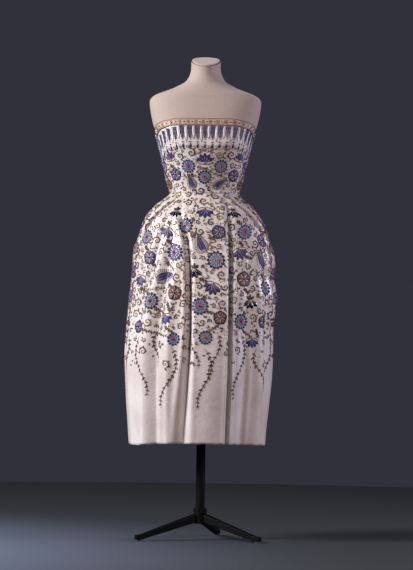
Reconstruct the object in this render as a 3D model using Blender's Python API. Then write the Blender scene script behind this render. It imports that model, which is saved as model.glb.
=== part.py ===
"""Strapless satin dress with a bell-shaped pleated skirt, worn by a linen dress form on a tripod stand.

Metres, +Z up, the front of the dress faces -Y and +X is on the viewer's right. Sizes below are in
millimetres and are turned to metres when a mesh is made. The cloth is a thin wall through horizontal
rings. A ring is a rounded oval, and the skirt's rings are pushed in where a pleat or fold runs down.
Angles go round the vertical axis: 0 is the centre front, +90 the wearer's side at +X, 180 the back.
"""

import math
from collections import namedtuple

import bmesh
import bpy
import numpy as np

MM = 0.001

# ---- driving dimensions, in millimetres ----------------------------------------------------------

STAND_OFFSET_X = 7.7  # from the middle of the whole width to the stand's pole
STAND_OFFSET_Y = -13.8  # from the middle of the whole depth to the stand's pole

CLOTH = 2.0  # thickness of the satin and its interlining
FORM_GAP = 2.0  # between the bodice and the dress form
SEAM_GAP = 0.3  # between two pieces that are sewn together
LAY_GAP = 1.5  # between a panel and a strip that is laid on it
WAIST = 1049.0  # height of the waist seam
HEM = 290.0  # height of the hem at the sides and the back
HEM_FRONT_RISE = 7.0
HEM_LEFT_DIP = 4.0
HEM_DIP_ANGLE = -68.0
HEM_DIP_SPREAD = 14.0

NECKLINE = 1272.5  # top edge of the bodice at the centre front
BAND_DEPTH = 20.0
BAND_THICKNESS = 1.4
BAND_EDGE = 2.0  # least depth of the band's lower row of cloth

PLACKET_WIDTH = 15.0
PLACKET_THICKNESS = 1.4
PLACKET_LOW_END = 870.0
PLACKET_COLUMNS = 4
PLACKET_REACH = 8.0  # degrees to each side of the centre back that hold the placket

FORM_BOTTOM = 762.0
NECK_TOP = 1452.0
NECK_TILT = math.radians(19.3)  # the cut of the neck leans to the front
NECK_TILT_START = 1400.0
NECK_CAP_THICKNESS = 4.0
NECK_CAP_SHARE = 0.94  # of the neck's own oval
NECK_CAP_BEVEL = 0.95  # share of its width that is left at its top
NECK_CAP_STRAIGHT = 0.6  # share of its thickness below the bevel
BUST_HEIGHT = 1208.0
BUST_ANGLE = 35.0
BUST_SWELL = 9.0
BUST_SPREAD_ANGLE = 20.0
BUST_SPREAD_HEIGHT = 36.0

BOARD_THICKNESS = 12.0
BOARD_INSET = 8.0
FLANGE_RADIUS = 42.0
FLANGE_THICKNESS = 6.0
POLE_RADIUS = 13.8
COLLAR_RADIUS = 20.3
COLLAR_LOW = 78.0
COLLAR_HIGH = 96.0
HUB_RADIUS = 21.0
HUB_LOW = 50.0
FLANGE_ROUNDING = 1.5
HUB_ROUNDING = 2.0
LEG_ROUNDING = 2.2
LEG_REACH = 204.0
LEG_ROOT_LOW = 53.0
LEG_ROOT_HIGH = 77.5
LEG_TIP_LOW = 5.3
LEG_TIP_HIGH = 18.5
LEG_ROOT_WIDTH = 26.0
LEG_TIP_WIDTH = 19.0
LEG_KNEE_RISE = 2.0  # the leg's top above its tip, where its flat end starts
FOOT_RADIUS = 9.0
FOOT_HEIGHT = 5.0
FOOT_TAPER = 1.5
# Direction of each leg, counter-clockwise from +X seen from above.
LEG_ANGLES = {"left": 205.0, "right": 328.0, "back": 75.0}

# ---- tables --------------------------------------------------------------------------------------

# The dress form: half of its width, how far its front and back stand from the axis, and how square
# its oval is (2 is an ellipse).
FormSection = namedtuple("FormSection", "height half_width front back square")
FORM_SECTIONS = (
    FormSection(762, 157, 92, 108, 2.2),
    FormSection(820, 163, 98, 118, 2.2),
    FormSection(880, 164, 99, 125, 2.2),
    FormSection(930, 155, 94, 121, 2.2),
    FormSection(980, 132, 86, 104, 2.2),
    FormSection(1015, 111, 79, 89, 2.2),
    FormSection(1052, 102, 80, 84, 2.2),
    FormSection(1092, 113, 88, 89, 2.2),
    FormSection(1128, 120, 98, 93, 2.3),
    FormSection(1165, 129, 110, 97, 2.3),
    FormSection(1202, 138, 117, 101, 2.4),
    FormSection(1235, 147, 117, 104, 2.5),
    FormSection(1254, 156, 113, 104, 2.6),
    FormSection(1281, 163, 106, 103, 2.6),
    FormSection(1308, 168, 98, 101, 2.6),
    FormSection(1327, 170, 92, 97, 2.5),
    FormSection(1338, 168, 88, 94, 2.5),
    FormSection(1346, 161, 86, 92, 2.4),
    FormSection(1354, 148, 83, 88, 2.4),
    FormSection(1363, 124, 79, 83, 2.3),
    FormSection(1372, 101, 74, 77, 2.2),
    FormSection(1382, 81, 69, 69, 2.1),
    FormSection(1391, 65, 66, 60, 2.0),
    FormSection(1409, 51, 62, 46, 2.0),
    FormSection(1430, 45, 64, 36, 2.0),
    FormSection(1452, 44.7, 68, 32, 2.0),
)
FORM_COLUMNS = 44
FORM_ROW_HEIGHTS = (
    762, 820, 880, 930, 980, 1015, 1034, 1052, 1070, 1092, 1128, 1165, 1185, 1202, 1219, 1235, 1254,
    1281, 1308, 1327, 1338, 1346, 1354, 1363, 1372, 1382, 1391, 1409, 1430, 1452,
)  # fmt: skip

# The skirt without its folds, through the crests of the pleats.
SkirtSection = namedtuple("SkirtSection", "height left right front back")
SKIRT_SECTIONS = (
    SkirtSection(1049, 106, 106, 84, 88),
    SkirtSection(1037, 120, 117, 92, 101),
    SkirtSection(1019, 144, 139, 106, 121),
    SkirtSection(1000, 161, 156, 119, 138),
    SkirtSection(982, 175, 170, 130, 151),
    SkirtSection(945, 190, 188, 146, 169),
    SkirtSection(908, 202, 199, 156, 180),
    SkirtSection(872, 213, 214, 163, 186),
    SkirtSection(836, 214, 218, 168, 189),
    SkirtSection(799, 216, 214, 171, 191),
    SkirtSection(744, 223, 223, 175, 193),
    SkirtSection(690, 228, 219, 177, 194),
    SkirtSection(634, 233, 214, 178, 194),
    SkirtSection(560, 237, 214, 178, 193),
    SkirtSection(487, 234, 211, 177, 190),
    SkirtSection(415, 230, 205, 173, 186),
    SkirtSection(342, 224, 199, 169, 181),
    SkirtSection(290, 220, 196, 167, 178),
)
SKIRT_SQUARE = 2.15
SKIRT_ROW_HEIGHTS = (
    1049, 1040, 1027, 1010, 990, 966, 934, 894, 848, 790, 716, 630, 540, 450, 365, 290,
)  # fmt: skip

# The pleats and folds of the skirt, as valleys. Each has its angle, its depth and half of its width at
# six heights, from the waist down.
FOLD_HEIGHTS = (1049, 1020, 985, 890, 650, 290)
Fold = namedtuple("Fold", "name angle depth half_width lean")
FOLDS = (
    Fold("front_left_pleat", (-42, -36, -31, -17.5, -13, -20.5),
         (0.8, 4, 6, 14, 20, 20), (6, 7, 8, 7.5, 8, 15), 0),
    Fold("front_right_pleat", (42, 36.5, 32.5, 29, 27, 27),
         (0.8, 4, 8, 24, 29, 26), (6, 7.5, 8, 7, 6.5, 6.5), 5),
    Fold("front_right_slope", (40, 36, 33, 31, 30, 30),
         (0, 0, 1, 5, 8, 11), (20, 24, 28, 34, 42, 46), 0),
    Fold("left_flute", (-48, -44, -40, -35, -44, -50),
         (0, 0, 1, 9, 18, 26), (8, 10, 12, 14, 17, 15), 0),
    Fold("left_drag", (-50, -48, -46, -47, -64, -69),
         (0, 1, 3, 9, 6, 3), (7, 9, 10, 11, 14, 18), 0),
    Fold("left_hip_pleat", (-47, -55, -64, -78, -83, -86),
         (0.8, 13, 24, 8, 6, 5), (6, 7, 9, 14, 18, 22), 7),
    Fold("right_flute", (56, 54, 52, 48, 46, 47),
         (0, 0, 0, 3, 12, 20), (8, 10, 12, 14, 22, 24), 0),
    Fold("right_drag", (62, 61, 60, 63, 66, 71),
         (0, 1, 2, 4, 7, 10), (7, 8, 9, 10, 13, 13), 0),
    Fold("right_hip_pleat", (46, 54, 63, 77, 80, 88),
         (0.8, 13, 24, 6, 8, 5), (6, 7, 9, 13, 14, 20), -7),
    Fold("left_side_pleat", (-90, -92, -94, -99, -104, -107),
         (0.8, 8, 15, 10, 13, 10), (6, 8, 10, 13, 16, 20), 5),
    Fold("right_side_pleat", (90, 91, 92, 98, 102, 104),
         (0.8, 8, 15, 11, 11, 9), (6, 8, 10, 13, 16, 19), -5),
    Fold("left_back_flute", (-110, -112, -113, -120, -125, -128),
         (0.8, 6, 11, 11, 15, 13), (6, 8, 10, 13, 17, 21), 0),
    Fold("right_back_flute", (108, 110, 112, 118, 122, 124),
         (0.8, 6, 12, 12, 14, 12), (6, 8, 10, 13, 17, 21), 0),
    Fold("left_back_drag", (-130, -132, -133, -138, -142, -144),
         (0.8, 4, 7, 7, 6, 5), (6, 8, 9, 12, 16, 20), 0),
    Fold("right_back_drag", (127, 129, 132, 139, 143, 145),
         (0.8, 4, 8, 8, 7, 6), (6, 8, 9, 12, 16, 20), 0),
    Fold("left_back_pleat", (-149, -150, -151, -155, -158, -155),
         (0.8, 5, 8, 22, 29, 25), (6, 8, 9, 10, 10, 11), 0),
    Fold("right_back_pleat", (149, 150, 152, 157, 160, 158),
         (0.8, 5, 8, 23, 30, 27), (6, 8, 9, 10, 10, 10), 0),
)  # fmt: skip
LIP = 0.12  # the crest beside a fold stands out by this share of the fold's depth
LIP_PLACE = 2.1  # in half widths of the fold
LIP_SPREAD = 0.8
LEAN_PLACE = 1.3  # where a leaning fold's outer lip is, in half widths
LEAN_DEPTH = 15.0  # a fold leans less where it is shallower than this
CROWD_SPREAD = 1.6  # in half widths, how far the columns crowd round a fold
STEEPEST = 1.4  # slope of the wall past which its step inwards no longer grows
RING_SAMPLES = 400

# The bodice's top edge: how far it has dropped from the centre front.
NECKLINE_DROPS = (
    (0, 0), (40, 0.3), (49, 4.5), (60, 10.5), (72, 24.5), (82, 38), (90, 44),
    (112, 58), (138, 72), (162, 80), (180, 82),
)  # fmt: skip

# Each panel of cloth lies between two seams, from the left one to the right one.
Panel = namedtuple("Panel", "name left_seam right_seam columns")
BODICE_SEAM_HEIGHTS = (1049, 1208, 1273)
BODICE_SEAMS = {
    "back_edge_left": (-180, -180, -180),
    "left_back": (-138, -136, -136),
    "left_side": (-90, -88, -87),
    "left_princess": (-27, -35, -42),
    "right_princess": (27, 35, 42),
    "right_side": (90, 88, 87),
    "right_back": (138, 136, 136),
    "back_edge_right": (180, 180, 180),
}
BODICE_PANELS = (
    Panel("bodice_front", "left_princess", "right_princess", 10),
    Panel("bodice_side_front_left", "left_side", "left_princess", 8),
    Panel("bodice_side_front_right", "right_princess", "right_side", 8),
    Panel("bodice_side_back_left", "left_back", "left_side", 7),
    Panel("bodice_side_back_right", "right_side", "right_back", 7),
    Panel("bodice_back_left", "back_edge_left", "left_back", 6),
    Panel("bodice_back_right", "right_back", "back_edge_right", 6),
)
BODICE_ROWS = 10
ROUND_SIDES = 20
SKIRT_PANELS = (
    Panel("skirt_front", "front_left_pleat", "front_right_pleat", 14),
    Panel("skirt_side_front_left", "left_side_pleat", "front_left_pleat", 24),
    Panel("skirt_side_front_right", "front_right_pleat", "right_side_pleat", 24),
    Panel("skirt_back_left", "centre_back_left", "left_side_pleat", 23),
    Panel("skirt_back_right", "right_side_pleat", "centre_back_right", 23),
)
CENTRE_BACK = {"centre_back_left": -180.0, "centre_back_right": 180.0}

Finish = namedtuple("Finish", "colour roughness metallic")
SATIN = Finish((0.86, 0.82, 0.76), 0.38, 0.0)
BRAID = Finish((0.52, 0.36, 0.22), 0.45, 0.3)
LINEN = Finish((0.70, 0.62, 0.56), 0.85, 0.0)
BOARD = Finish((0.45, 0.30, 0.18), 0.6, 0.0)
BLACK_STEEL = Finish((0.012, 0.012, 0.014), 0.4, 0.6)
RUBBER = Finish((0.02, 0.02, 0.02), 0.8, 0.0)


# ---- curves through tables -----------------------------------------------------------------------


def smooth(xs, ys, x):
    """A curve through the points (xs, ys) that never swings past them, read at x."""
    xs, ys, x = (np.asarray(values, float) for values in (xs, ys, x))
    order = np.argsort(xs)
    xs, ys = xs[order], ys[order]
    steps = np.diff(xs)
    slopes = np.diff(ys) / steps
    tangents = np.concatenate([slopes[:1], (slopes[1:] + slopes[:-1]) / 2, slopes[-1:]])
    turning = slopes[1:] * slopes[:-1] <= 0
    tangents[1:-1][turning] = 0
    limit = 3 * np.minimum(np.abs(slopes[1:]), np.abs(slopes[:-1]))
    tangents[1:-1] = np.clip(tangents[1:-1], -limit, limit)
    x = np.clip(x, xs[0], xs[-1])
    k = np.clip(np.searchsorted(xs, x) - 1, 0, len(steps) - 1)
    t = (x - xs[k]) / steps[k]
    return (
        ys[k] * (2 * t**3 - 3 * t**2 + 1)
        + ys[k + 1] * (3 * t**2 - 2 * t**3)
        + steps[k] * tangents[k] * (t**3 - 2 * t**2 + t)
        + steps[k] * tangents[k + 1] * (t**3 - t**2)
    )


def read_section(table, column, height):
    """One column of a table of sections, at a height."""
    return smooth([row.height for row in table], [getattr(row, column) for row in table], height)


def oval_radius(angle, across, along, square):
    """Radius at an angle in degrees of a rounded oval, half as wide as across and half as deep as along."""
    turn = np.radians(angle)
    term = np.abs(np.sin(turn) / across) ** square + np.abs(np.cos(turn) / along) ** square
    return term ** (-1 / square)


# ---- the surfaces --------------------------------------------------------------------------------


def form_radius(angle, height):
    """The dress form's radius. A soft swell on each side of the front makes room for the bodice's cups."""
    front = read_section(FORM_SECTIONS, "front", height)
    back = read_section(FORM_SECTIONS, "back", height)
    forward = np.cos(np.radians(angle)) > 0
    radius = oval_radius(
        angle,
        read_section(FORM_SECTIONS, "half_width", height),
        np.where(forward, front, back),
        read_section(FORM_SECTIONS, "square", height),
    )
    from_cup = (np.abs(angle) - BUST_ANGLE) / BUST_SPREAD_ANGLE
    from_bust = (height - BUST_HEIGHT) / BUST_SPREAD_HEIGHT
    return radius + BUST_SWELL * np.exp(-(from_cup**2) - from_bust**2)


def around(angle, radius):
    """Points (x, y) at these angles and radii."""
    turn = np.radians(angle)
    return np.stack([radius * np.sin(turn), -radius * np.cos(turn)], -1)


def fold_at(fold, height):
    """Angle, depth and half width of a fold at a height."""
    return [smooth(FOLD_HEIGHTS, getattr(fold, part), height) for part in ("angle", "depth", "half_width")]


def skirt_ring(angle, height):
    """Points (x, y) of the skirt's outer face at these angles, all at one height."""
    right = np.sin(np.radians(angle)) > 0
    forward = np.cos(np.radians(angle)) > 0
    read = {part: read_section(SKIRT_SECTIONS, part, height) for part in SkirtSection._fields[1:]}
    across = np.where(right, read["right"], read["left"])
    along = np.where(forward, read["front"], read["back"])
    radius = oval_radius(angle, across, along, SKIRT_SQUARE)
    push = np.zeros_like(radius)
    slide = np.zeros_like(radius)
    for fold in FOLDS:
        fold_angle, depth, half_width = fold_at(fold, height)
        u = np.radians(angle - fold_angle) * radius / half_width
        crests = np.exp(-(((np.abs(u) - LIP_PLACE) / LIP_SPREAD) ** 2))
        push += depth * (LIP * crests - np.exp(-(u**2)))
        if fold.lean:
            outer_lip = np.exp(-((u * np.sign(-fold.lean) - LEAN_PLACE) ** 2))
            slide += fold.lean * min(1.0, depth / LEAN_DEPTH) * outer_lip
    return around(angle + np.degrees(slide / radius), radius + push)


def hem_height(angle):
    """Height of the hem: a little higher at the front, and lower on the left flute."""
    turn = np.radians(angle)
    dip = HEM_LEFT_DIP * np.exp(-(((angle - HEM_DIP_ANGLE) / HEM_DIP_SPREAD) ** 2))
    return HEM + HEM_FRONT_RISE * np.maximum(0, np.cos(turn)) - dip


def neckline_height(angle):
    """Height of the bodice's top edge."""
    angles, drops = zip(*NECKLINE_DROPS)
    return NECKLINE - smooth(angles, drops, np.abs(angle))


# ---- meshes --------------------------------------------------------------------------------------


def new_object(name, mesh, finish, parent):
    """An object with its own material, under the parent."""
    material = bpy.data.materials.new(name)
    material.use_nodes = True
    shader = material.node_tree.nodes["Principled BSDF"]
    shader.inputs["Base Color"].default_value = (*finish.colour, 1)
    shader.inputs["Roughness"].default_value = finish.roughness
    shader.inputs["Metallic"].default_value = finish.metallic
    mesh.materials.append(material)
    obj = bpy.data.objects.new(name, mesh)
    bpy.context.scene.collection.objects.link(obj)
    obj.parent = parent
    return obj


def mesh_from(name, points, faces, smooth_angle=40):
    """A mesh from points in millimetres, shaded smooth but for its sharp edges."""
    mesh = bpy.data.meshes.new(name)
    mesh.from_pydata([tuple(p * MM) for p in points], [], faces)
    shade(mesh, smooth_angle)
    return mesh


def shade(mesh, smooth_angle=40):
    """Smooth shading, with the edges past this angle kept sharp."""
    mesh.shade_smooth()
    mesh.set_sharp_from_angle(angle=math.radians(smooth_angle))


def wall_mesh(name, outer, inner):
    """A wall between two grids of points, [row from the top][column from the left seam]."""
    rows, columns = outer.shape[:2]
    count = rows * columns
    index = np.arange(count).reshape(rows, columns)
    faces = []
    for r in range(rows - 1):
        for c in range(columns - 1):
            quad = [index[r, c], index[r + 1, c], index[r + 1, c + 1], index[r, c + 1]]
            faces.append([int(i) for i in quad])
            faces.append([int(i) + count for i in reversed(quad)])
    rim = [*index[0], *index[1:, -1], *index[-1, -2::-1], *index[-2:0:-1, 0]]
    for a, b in zip(rim, rim[1:] + rim[:1]):
        faces.append([int(a), int(b), int(b) + count, int(a) + count])
    return mesh_from(name, np.concatenate([outer.reshape(-1, 3), inner.reshape(-1, 3)]), faces)


def loft_mesh(name, rings):
    """A solid through closed rings, from the lowest to the highest, with a flat face at each end."""
    rows, columns = rings.shape[:2]
    faces = [list(reversed(range(columns))), list(range((rows - 1) * columns, rows * columns))]
    for r in range(rows - 1):
        for c in range(columns):
            d = (c + 1) % columns
            faces.append([r * columns + c, r * columns + d, (r + 1) * columns + d, (r + 1) * columns + c])
    return mesh_from(name, rings.reshape(-1, 3), faces)


def ring_normals(points):
    """Outward directions (x, y) along a run of points that goes round from left to right."""
    along = np.gradient(points, axis=0)
    across = np.stack([along[:, 1], -along[:, 0]], -1)
    return across / np.linalg.norm(across, axis=1, keepdims=True)


def evenly_spread(points, weights, columns):
    """Places, as shares of the run, that split it into columns of equal weighted length."""
    steps = np.linalg.norm(np.diff(points, axis=0), axis=1) * (weights[1:] + weights[:-1]) / 2
    run = np.concatenate([[0], np.cumsum(steps)])
    return np.interp(np.linspace(0, run[-1], columns + 1), run, np.arange(len(points)))


def read_at(values, places):
    """Rows of values at fractional places."""
    grid = np.arange(len(values))
    return np.stack([np.interp(places, grid, values[:, k]) for k in range(values.shape[1])], -1)


# ---- the dress -----------------------------------------------------------------------------------


def skirt_seam(name, height):
    """Angle of a skirt seam. Seams run down the bottom of a pleat, or the centre of the back."""
    if name in CENTRE_BACK:
        return CENTRE_BACK[name]
    fold = next(f for f in FOLDS if f.name == name)
    return float(fold_at(fold, height)[0])


def skirt_columns(panel, height):
    """Outer points, outward directions and angles of one panel's ring at a height."""
    left, right = skirt_seam(panel.left_seam, height), skirt_seam(panel.right_seam, height)
    dense = np.linspace(left, right, RING_SAMPLES)
    ring = skirt_ring(dense, height)
    trim = np.degrees(SEAM_GAP / 2 / np.linalg.norm(ring[[0, -1]], axis=1))
    dense = np.linspace(left + trim[0], right - trim[1], RING_SAMPLES)
    ring = skirt_ring(dense, height)
    weights = np.ones(len(dense))
    for fold in FOLDS:
        fold_angle, depth, half_width = fold_at(fold, height)
        u = np.radians(dense - fold_angle) * np.linalg.norm(ring, axis=1) / half_width
        weights += depth / half_width * np.exp(-((u / CROWD_SPREAD) ** 2))
    places = evenly_spread(ring, weights, panel.columns)
    both = read_at(np.column_stack([ring, ring_normals(ring), dense]), places)
    return both[:, :2], both[:, 2:4], both[:, 4]


def skirt_wall(panel):
    """Outer and inner points of a skirt panel."""
    heights = np.array(SKIRT_ROW_HEIGHTS, float)
    rows = [skirt_columns(panel, height) for height in heights]
    flat, normals, angles = (np.array([row[k] for row in rows]) for k in range(3))
    share = (heights[:, None] - HEM) / (WAIST - HEM)
    levels = hem_height(angles) * (1 - share) + WAIST * share
    # A sloping wall needs a wider step inwards to keep its thickness.
    slope = np.gradient(np.linalg.norm(flat, axis=2), heights, axis=0)
    step = CLOTH * np.sqrt(1 + np.clip(slope, -STEEPEST, STEEPEST) ** 2)
    inner = flat - normals * step[..., None]
    inner[0] = flat[0] - normals[0] * CLOTH
    return np.dstack([flat, levels]), np.dstack([inner, levels])


def bodice_point(angle, height, out):
    """A point at this distance from the dress form's side."""
    flat = around(angle, form_radius(angle, height) + out)
    return np.dstack([flat, np.broadcast_to(height, flat.shape[:-1])])


def bodice_seam(name, height, side):
    """Angle of a bodice seam, moved half a seam gap to the side."""
    angle = smooth(BODICE_SEAM_HEIGHTS, BODICE_SEAMS[name], height)
    return angle + side * np.degrees(SEAM_GAP / 2 / form_radius(angle, height))


def bodice_grid(panel):
    """Angles and heights of a bodice panel's points, [row from the top][column]."""
    share = np.linspace(1, 0, BODICE_ROWS + 1)[:, None]
    across = np.linspace(0, 1, panel.columns + 1)[None, :]
    low = WAIST + SEAM_GAP
    heights = np.full((BODICE_ROWS + 1, panel.columns + 1), low)
    for _ in range(3):  # the seams' angles and the sloping top edge depend on each other
        left = bodice_seam(panel.left_seam, heights, +1)
        right = bodice_seam(panel.right_seam, heights, -1)
        angles = left * (1 - across) + right * across
        heights = low + share * (neckline_height(angles) - low)
    return angles, heights


def add_bodice(parent):
    """The seven panels of the bodice, close to the dress form."""
    for panel in BODICE_PANELS:
        angles, heights = bodice_grid(panel)
        outer = bodice_point(angles, heights, FORM_GAP + CLOTH)
        inner = bodice_point(angles, heights, FORM_GAP)
        new_object(panel.name, wall_mesh(panel.name, outer, inner), SATIN, parent)


def add_skirt(parent):
    """The five panels of the skirt, with their pleats and folds."""
    for panel in SKIRT_PANELS:
        new_object(panel.name, wall_mesh(panel.name, *skirt_wall(panel)), SATIN, parent)


def below_top(outer, drops):
    """Points on a bodice panel's outer face, each at a drop below the top of its own column."""
    places = []
    for column, drop in zip(outer.transpose(1, 0, 2), drops):
        level = column[0, 2] - drop
        places.append([np.interp(-level, -column[:, 2], column[:, k]) for k in range(3)])
    return np.array(places)


def band_rows():
    """Three rows of points under the band, from the left of the closure round to its right."""
    runs = []
    for panel in sorted(BODICE_PANELS, key=lambda p: BODICE_SEAMS[p.left_seam][0]):
        outer = bodice_point(*bodice_grid(panel), FORM_GAP + CLOTH)
        # The middle row follows the bodice's own second row where that lies under the band.
        second = np.minimum(outer[0, :, 2] - outer[1, :, 2], BAND_DEPTH - BAND_EDGE)
        all_drops = (np.zeros_like(second), second, np.full_like(second, BAND_DEPTH))
        run = np.array([below_top(outer, drops) for drops in all_drops])
        runs.append(run[:, 1:] if runs else run)
    rows = np.concatenate(runs, axis=1)
    cut = PLACKET_WIDTH / 2 + SEAM_GAP
    for end, inner in ((0, 1), (-1, -2)):
        along = rows[:, inner] - rows[:, end]
        rows[:, end] += along * cut / np.linalg.norm(along, axis=-1, keepdims=True)
    return rows


def moved_out(points, distance):
    """Points moved straight away from the dress form's axis."""
    away = points * (1, 1, 0)
    return points + away / np.linalg.norm(away, axis=-1, keepdims=True) * distance


def add_band(parent):
    """The braid round the top edge, open at the centre back."""
    lying = band_rows()
    outer, inner = moved_out(lying, LAY_GAP + BAND_THICKNESS), moved_out(lying, LAY_GAP)
    new_object("top_band", wall_mesh("top_band", outer, inner), BRAID, parent)


def placket_row(height):
    """Points (x, y) of the panels' outer face across the back closure, from +X to -X."""
    dense = np.linspace(180 - PLACKET_REACH, 180 + PLACKET_REACH, RING_SAMPLES)
    angles = np.where(dense > 180, dense - 360, dense)
    if height > WAIST:
        flat = around(angles, form_radius(angles, height) + FORM_GAP + CLOTH)
    else:
        flat = skirt_ring(angles, height)
    across = np.linspace(PLACKET_WIDTH / 2, -PLACKET_WIDTH / 2, PLACKET_COLUMNS + 1)
    return np.stack([across, np.interp(across, flat[::-1, 0], flat[::-1, 1])], -1)


def add_placket(parent):
    """The lapped strip over the back closure, from the top edge to below the waist."""
    top = float(neckline_height(180.0))
    heights = list(np.linspace(top, WAIST + SEAM_GAP, BODICE_ROWS + 1))
    heights += [*(h for h in SKIRT_ROW_HEIGHTS if h > PLACKET_LOW_END), PLACKET_LOW_END]
    flat = np.array([placket_row(height) for height in heights])
    levels = np.broadcast_to(np.array(heights)[:, None], flat.shape[:2])
    slope = np.gradient(flat[:, PLACKET_COLUMNS // 2, 1], np.array(heights))
    # Where the back slopes, a longer step straight back keeps the strip's gap and thickness.
    backwards = np.array([0.0, 1.0]) * np.sqrt(1 + np.clip(slope, -STEEPEST, STEEPEST) ** 2)[:, None, None]
    near = flat + backwards * LAY_GAP
    far = near + backwards * PLACKET_THICKNESS
    outer, inner = np.dstack([far, levels]), np.dstack([near, levels])
    new_object("back_placket", wall_mesh("back_placket", outer, inner), SATIN, parent)


# ---- the dress form ------------------------------------------------------------------------------


def neck_rise(flat, height):
    """How far the neck's leaning cut lifts a point, which grows from the shoulders to the cut."""
    share = np.clip((height - NECK_TILT_START) / (NECK_TOP - NECK_TILT_START), 0, 1)
    middle = (FORM_SECTIONS[-1].back - FORM_SECTIONS[-1].front) / 2
    return share * math.tan(NECK_TILT) * (flat[..., 1] - middle)


def add_form(parent):
    """The torso of the dress form, from below the hips to the leaning cut of the neck."""
    angles = np.linspace(-180, 180, FORM_COLUMNS, endpoint=False)
    rings = []
    for height in FORM_ROW_HEIGHTS:
        flat = around(angles, form_radius(angles, height))
        rings.append(np.column_stack([flat, height + neck_rise(flat, height)]))
    new_object("form_torso", loft_mesh("form_torso", np.array(rings)), LINEN, parent)


def add_neck_cap(parent):
    """The disc that closes the neck, on the leaning cut."""
    angles = np.linspace(-180, 180, FORM_COLUMNS, endpoint=False)
    flat = around(angles, form_radius(angles, NECK_TOP))
    middle = flat.mean(axis=0)
    rings = []
    straight = SEAM_GAP + NECK_CAP_THICKNESS * NECK_CAP_STRAIGHT
    for lift, share in ((SEAM_GAP, 1.0), (straight, 1.0), (NECK_CAP_THICKNESS, NECK_CAP_BEVEL)):
        ring = middle + (flat - middle) * NECK_CAP_SHARE * share
        rings.append(np.column_stack([ring, NECK_TOP + lift + neck_rise(ring, NECK_TOP)]))
    new_object("neck_cap", loft_mesh("neck_cap", np.array(rings)), LINEN, parent)


def add_form_board(parent):
    """The wooden board that closes the form's bottom."""
    angles = np.linspace(-180, 180, FORM_COLUMNS, endpoint=False)
    flat = around(angles, form_radius(angles, FORM_BOTTOM) - BOARD_INSET)
    top = FORM_BOTTOM - SEAM_GAP
    rings = [np.column_stack([flat, np.full(len(flat), z)]) for z in (top - BOARD_THICKNESS, top)]
    new_object("form_board", loft_mesh("form_board", np.array(rings)), BOARD, parent)


# ---- the stand -----------------------------------------------------------------------------------


def cylinder_mesh(name, radius, low, high, bevel=0.0, top_radius=None):
    """An upright round bar, or a cone, between two heights, with its edges bevelled."""
    bm = bmesh.new()
    bmesh.ops.create_cone(
        bm,
        cap_ends=True,
        segments=ROUND_SIDES,
        radius1=radius * MM,
        radius2=(top_radius or radius) * MM,
        depth=(high - low) * MM,
    )
    bmesh.ops.translate(bm, vec=(0, 0, (low + high) / 2 * MM), verts=bm.verts)
    if bevel:
        rims = [edge for edge in bm.edges if any(len(face.verts) > 4 for face in edge.link_faces)]
        bmesh.ops.bevel(bm, geom=rims, offset=bevel * MM, segments=2, affect="EDGES", profile=0.5)
    mesh = bpy.data.meshes.new(name)
    bm.to_mesh(mesh)
    bm.free()
    shade(mesh, 30)
    return mesh


def leg_mesh(name):
    """A tapered bar along +X that slopes from the hub down to its foot, where its end lies flat."""
    root, knee, tip = HUB_RADIUS + SEAM_GAP, LEG_REACH - FOOT_RADIUS, LEG_REACH + FOOT_RADIUS
    outline = (
        (root, LEG_ROOT_LOW),
        (knee, LEG_TIP_LOW),
        (tip, LEG_TIP_LOW),
        (tip, LEG_TIP_HIGH),
        (knee, LEG_TIP_HIGH + LEG_KNEE_RISE),
        (root, LEG_ROOT_HIGH),
    )
    bm = bmesh.new()
    right, left = [], []
    for ring, side in ((right, -1), (left, 1)):
        for x, z in outline:
            width = float(np.interp(x, (root, tip), (LEG_ROOT_WIDTH, LEG_TIP_WIDTH)))
            ring.append(bm.verts.new((x * MM, side * width / 2 * MM, z * MM)))
        bm.faces.new(ring)
    for k in range(len(outline)):
        j = (k + 1) % len(outline)
        bm.faces.new((right[j], right[k], left[k], left[j]))
    bmesh.ops.recalc_face_normals(bm, faces=bm.faces)
    at_tip = {corner for ring in (right, left) for corner in ring[2:4]}
    rounded = [
        edge
        for edge in bm.edges
        if abs(edge.verts[0].co.x - edge.verts[1].co.x) > MM or all(vert in at_tip for vert in edge.verts)
    ]
    bmesh.ops.bevel(bm, geom=rounded, offset=LEG_ROUNDING * MM, segments=2, affect="EDGES", profile=0.5)
    mesh = bpy.data.meshes.new(name)
    bm.to_mesh(mesh)
    bm.free()
    shade(mesh, 30)
    return mesh


def add_stand(parent):
    """The pole with its flange under the board, the collar, the hub and the three legs on their feet."""
    flange_top = FORM_BOTTOM - SEAM_GAP - BOARD_THICKNESS - SEAM_GAP
    flange_low = flange_top - FLANGE_THICKNESS
    bars = (
        ("pole_flange", FLANGE_RADIUS, flange_low, flange_top, FLANGE_ROUNDING),
        ("stand_pole", POLE_RADIUS, COLLAR_HIGH + SEAM_GAP, flange_low - SEAM_GAP, 0.0),
        ("stand_collar", COLLAR_RADIUS, COLLAR_LOW + SEAM_GAP, COLLAR_HIGH, HUB_ROUNDING),
        ("stand_hub", HUB_RADIUS, HUB_LOW, COLLAR_LOW, HUB_ROUNDING),
    )
    for name, radius, low, high, rounding in bars:
        new_object(name, cylinder_mesh(name, radius, low, high, rounding), BLACK_STEEL, parent)
    for side, angle in LEG_ANGLES.items():
        turn = math.radians(angle)
        leg = new_object(f"leg_{side}", leg_mesh(f"leg_{side}"), BLACK_STEEL, parent)
        leg.rotation_euler.z = turn
        name = f"foot_{side}"
        pad = cylinder_mesh(name, FOOT_RADIUS, 0, FOOT_HEIGHT, top_radius=FOOT_RADIUS - FOOT_TAPER)
        foot = new_object(name, pad, RUBBER, parent)
        foot.location = (LEG_REACH * math.cos(turn) * MM, LEG_REACH * math.sin(turn) * MM, 0)


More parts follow.
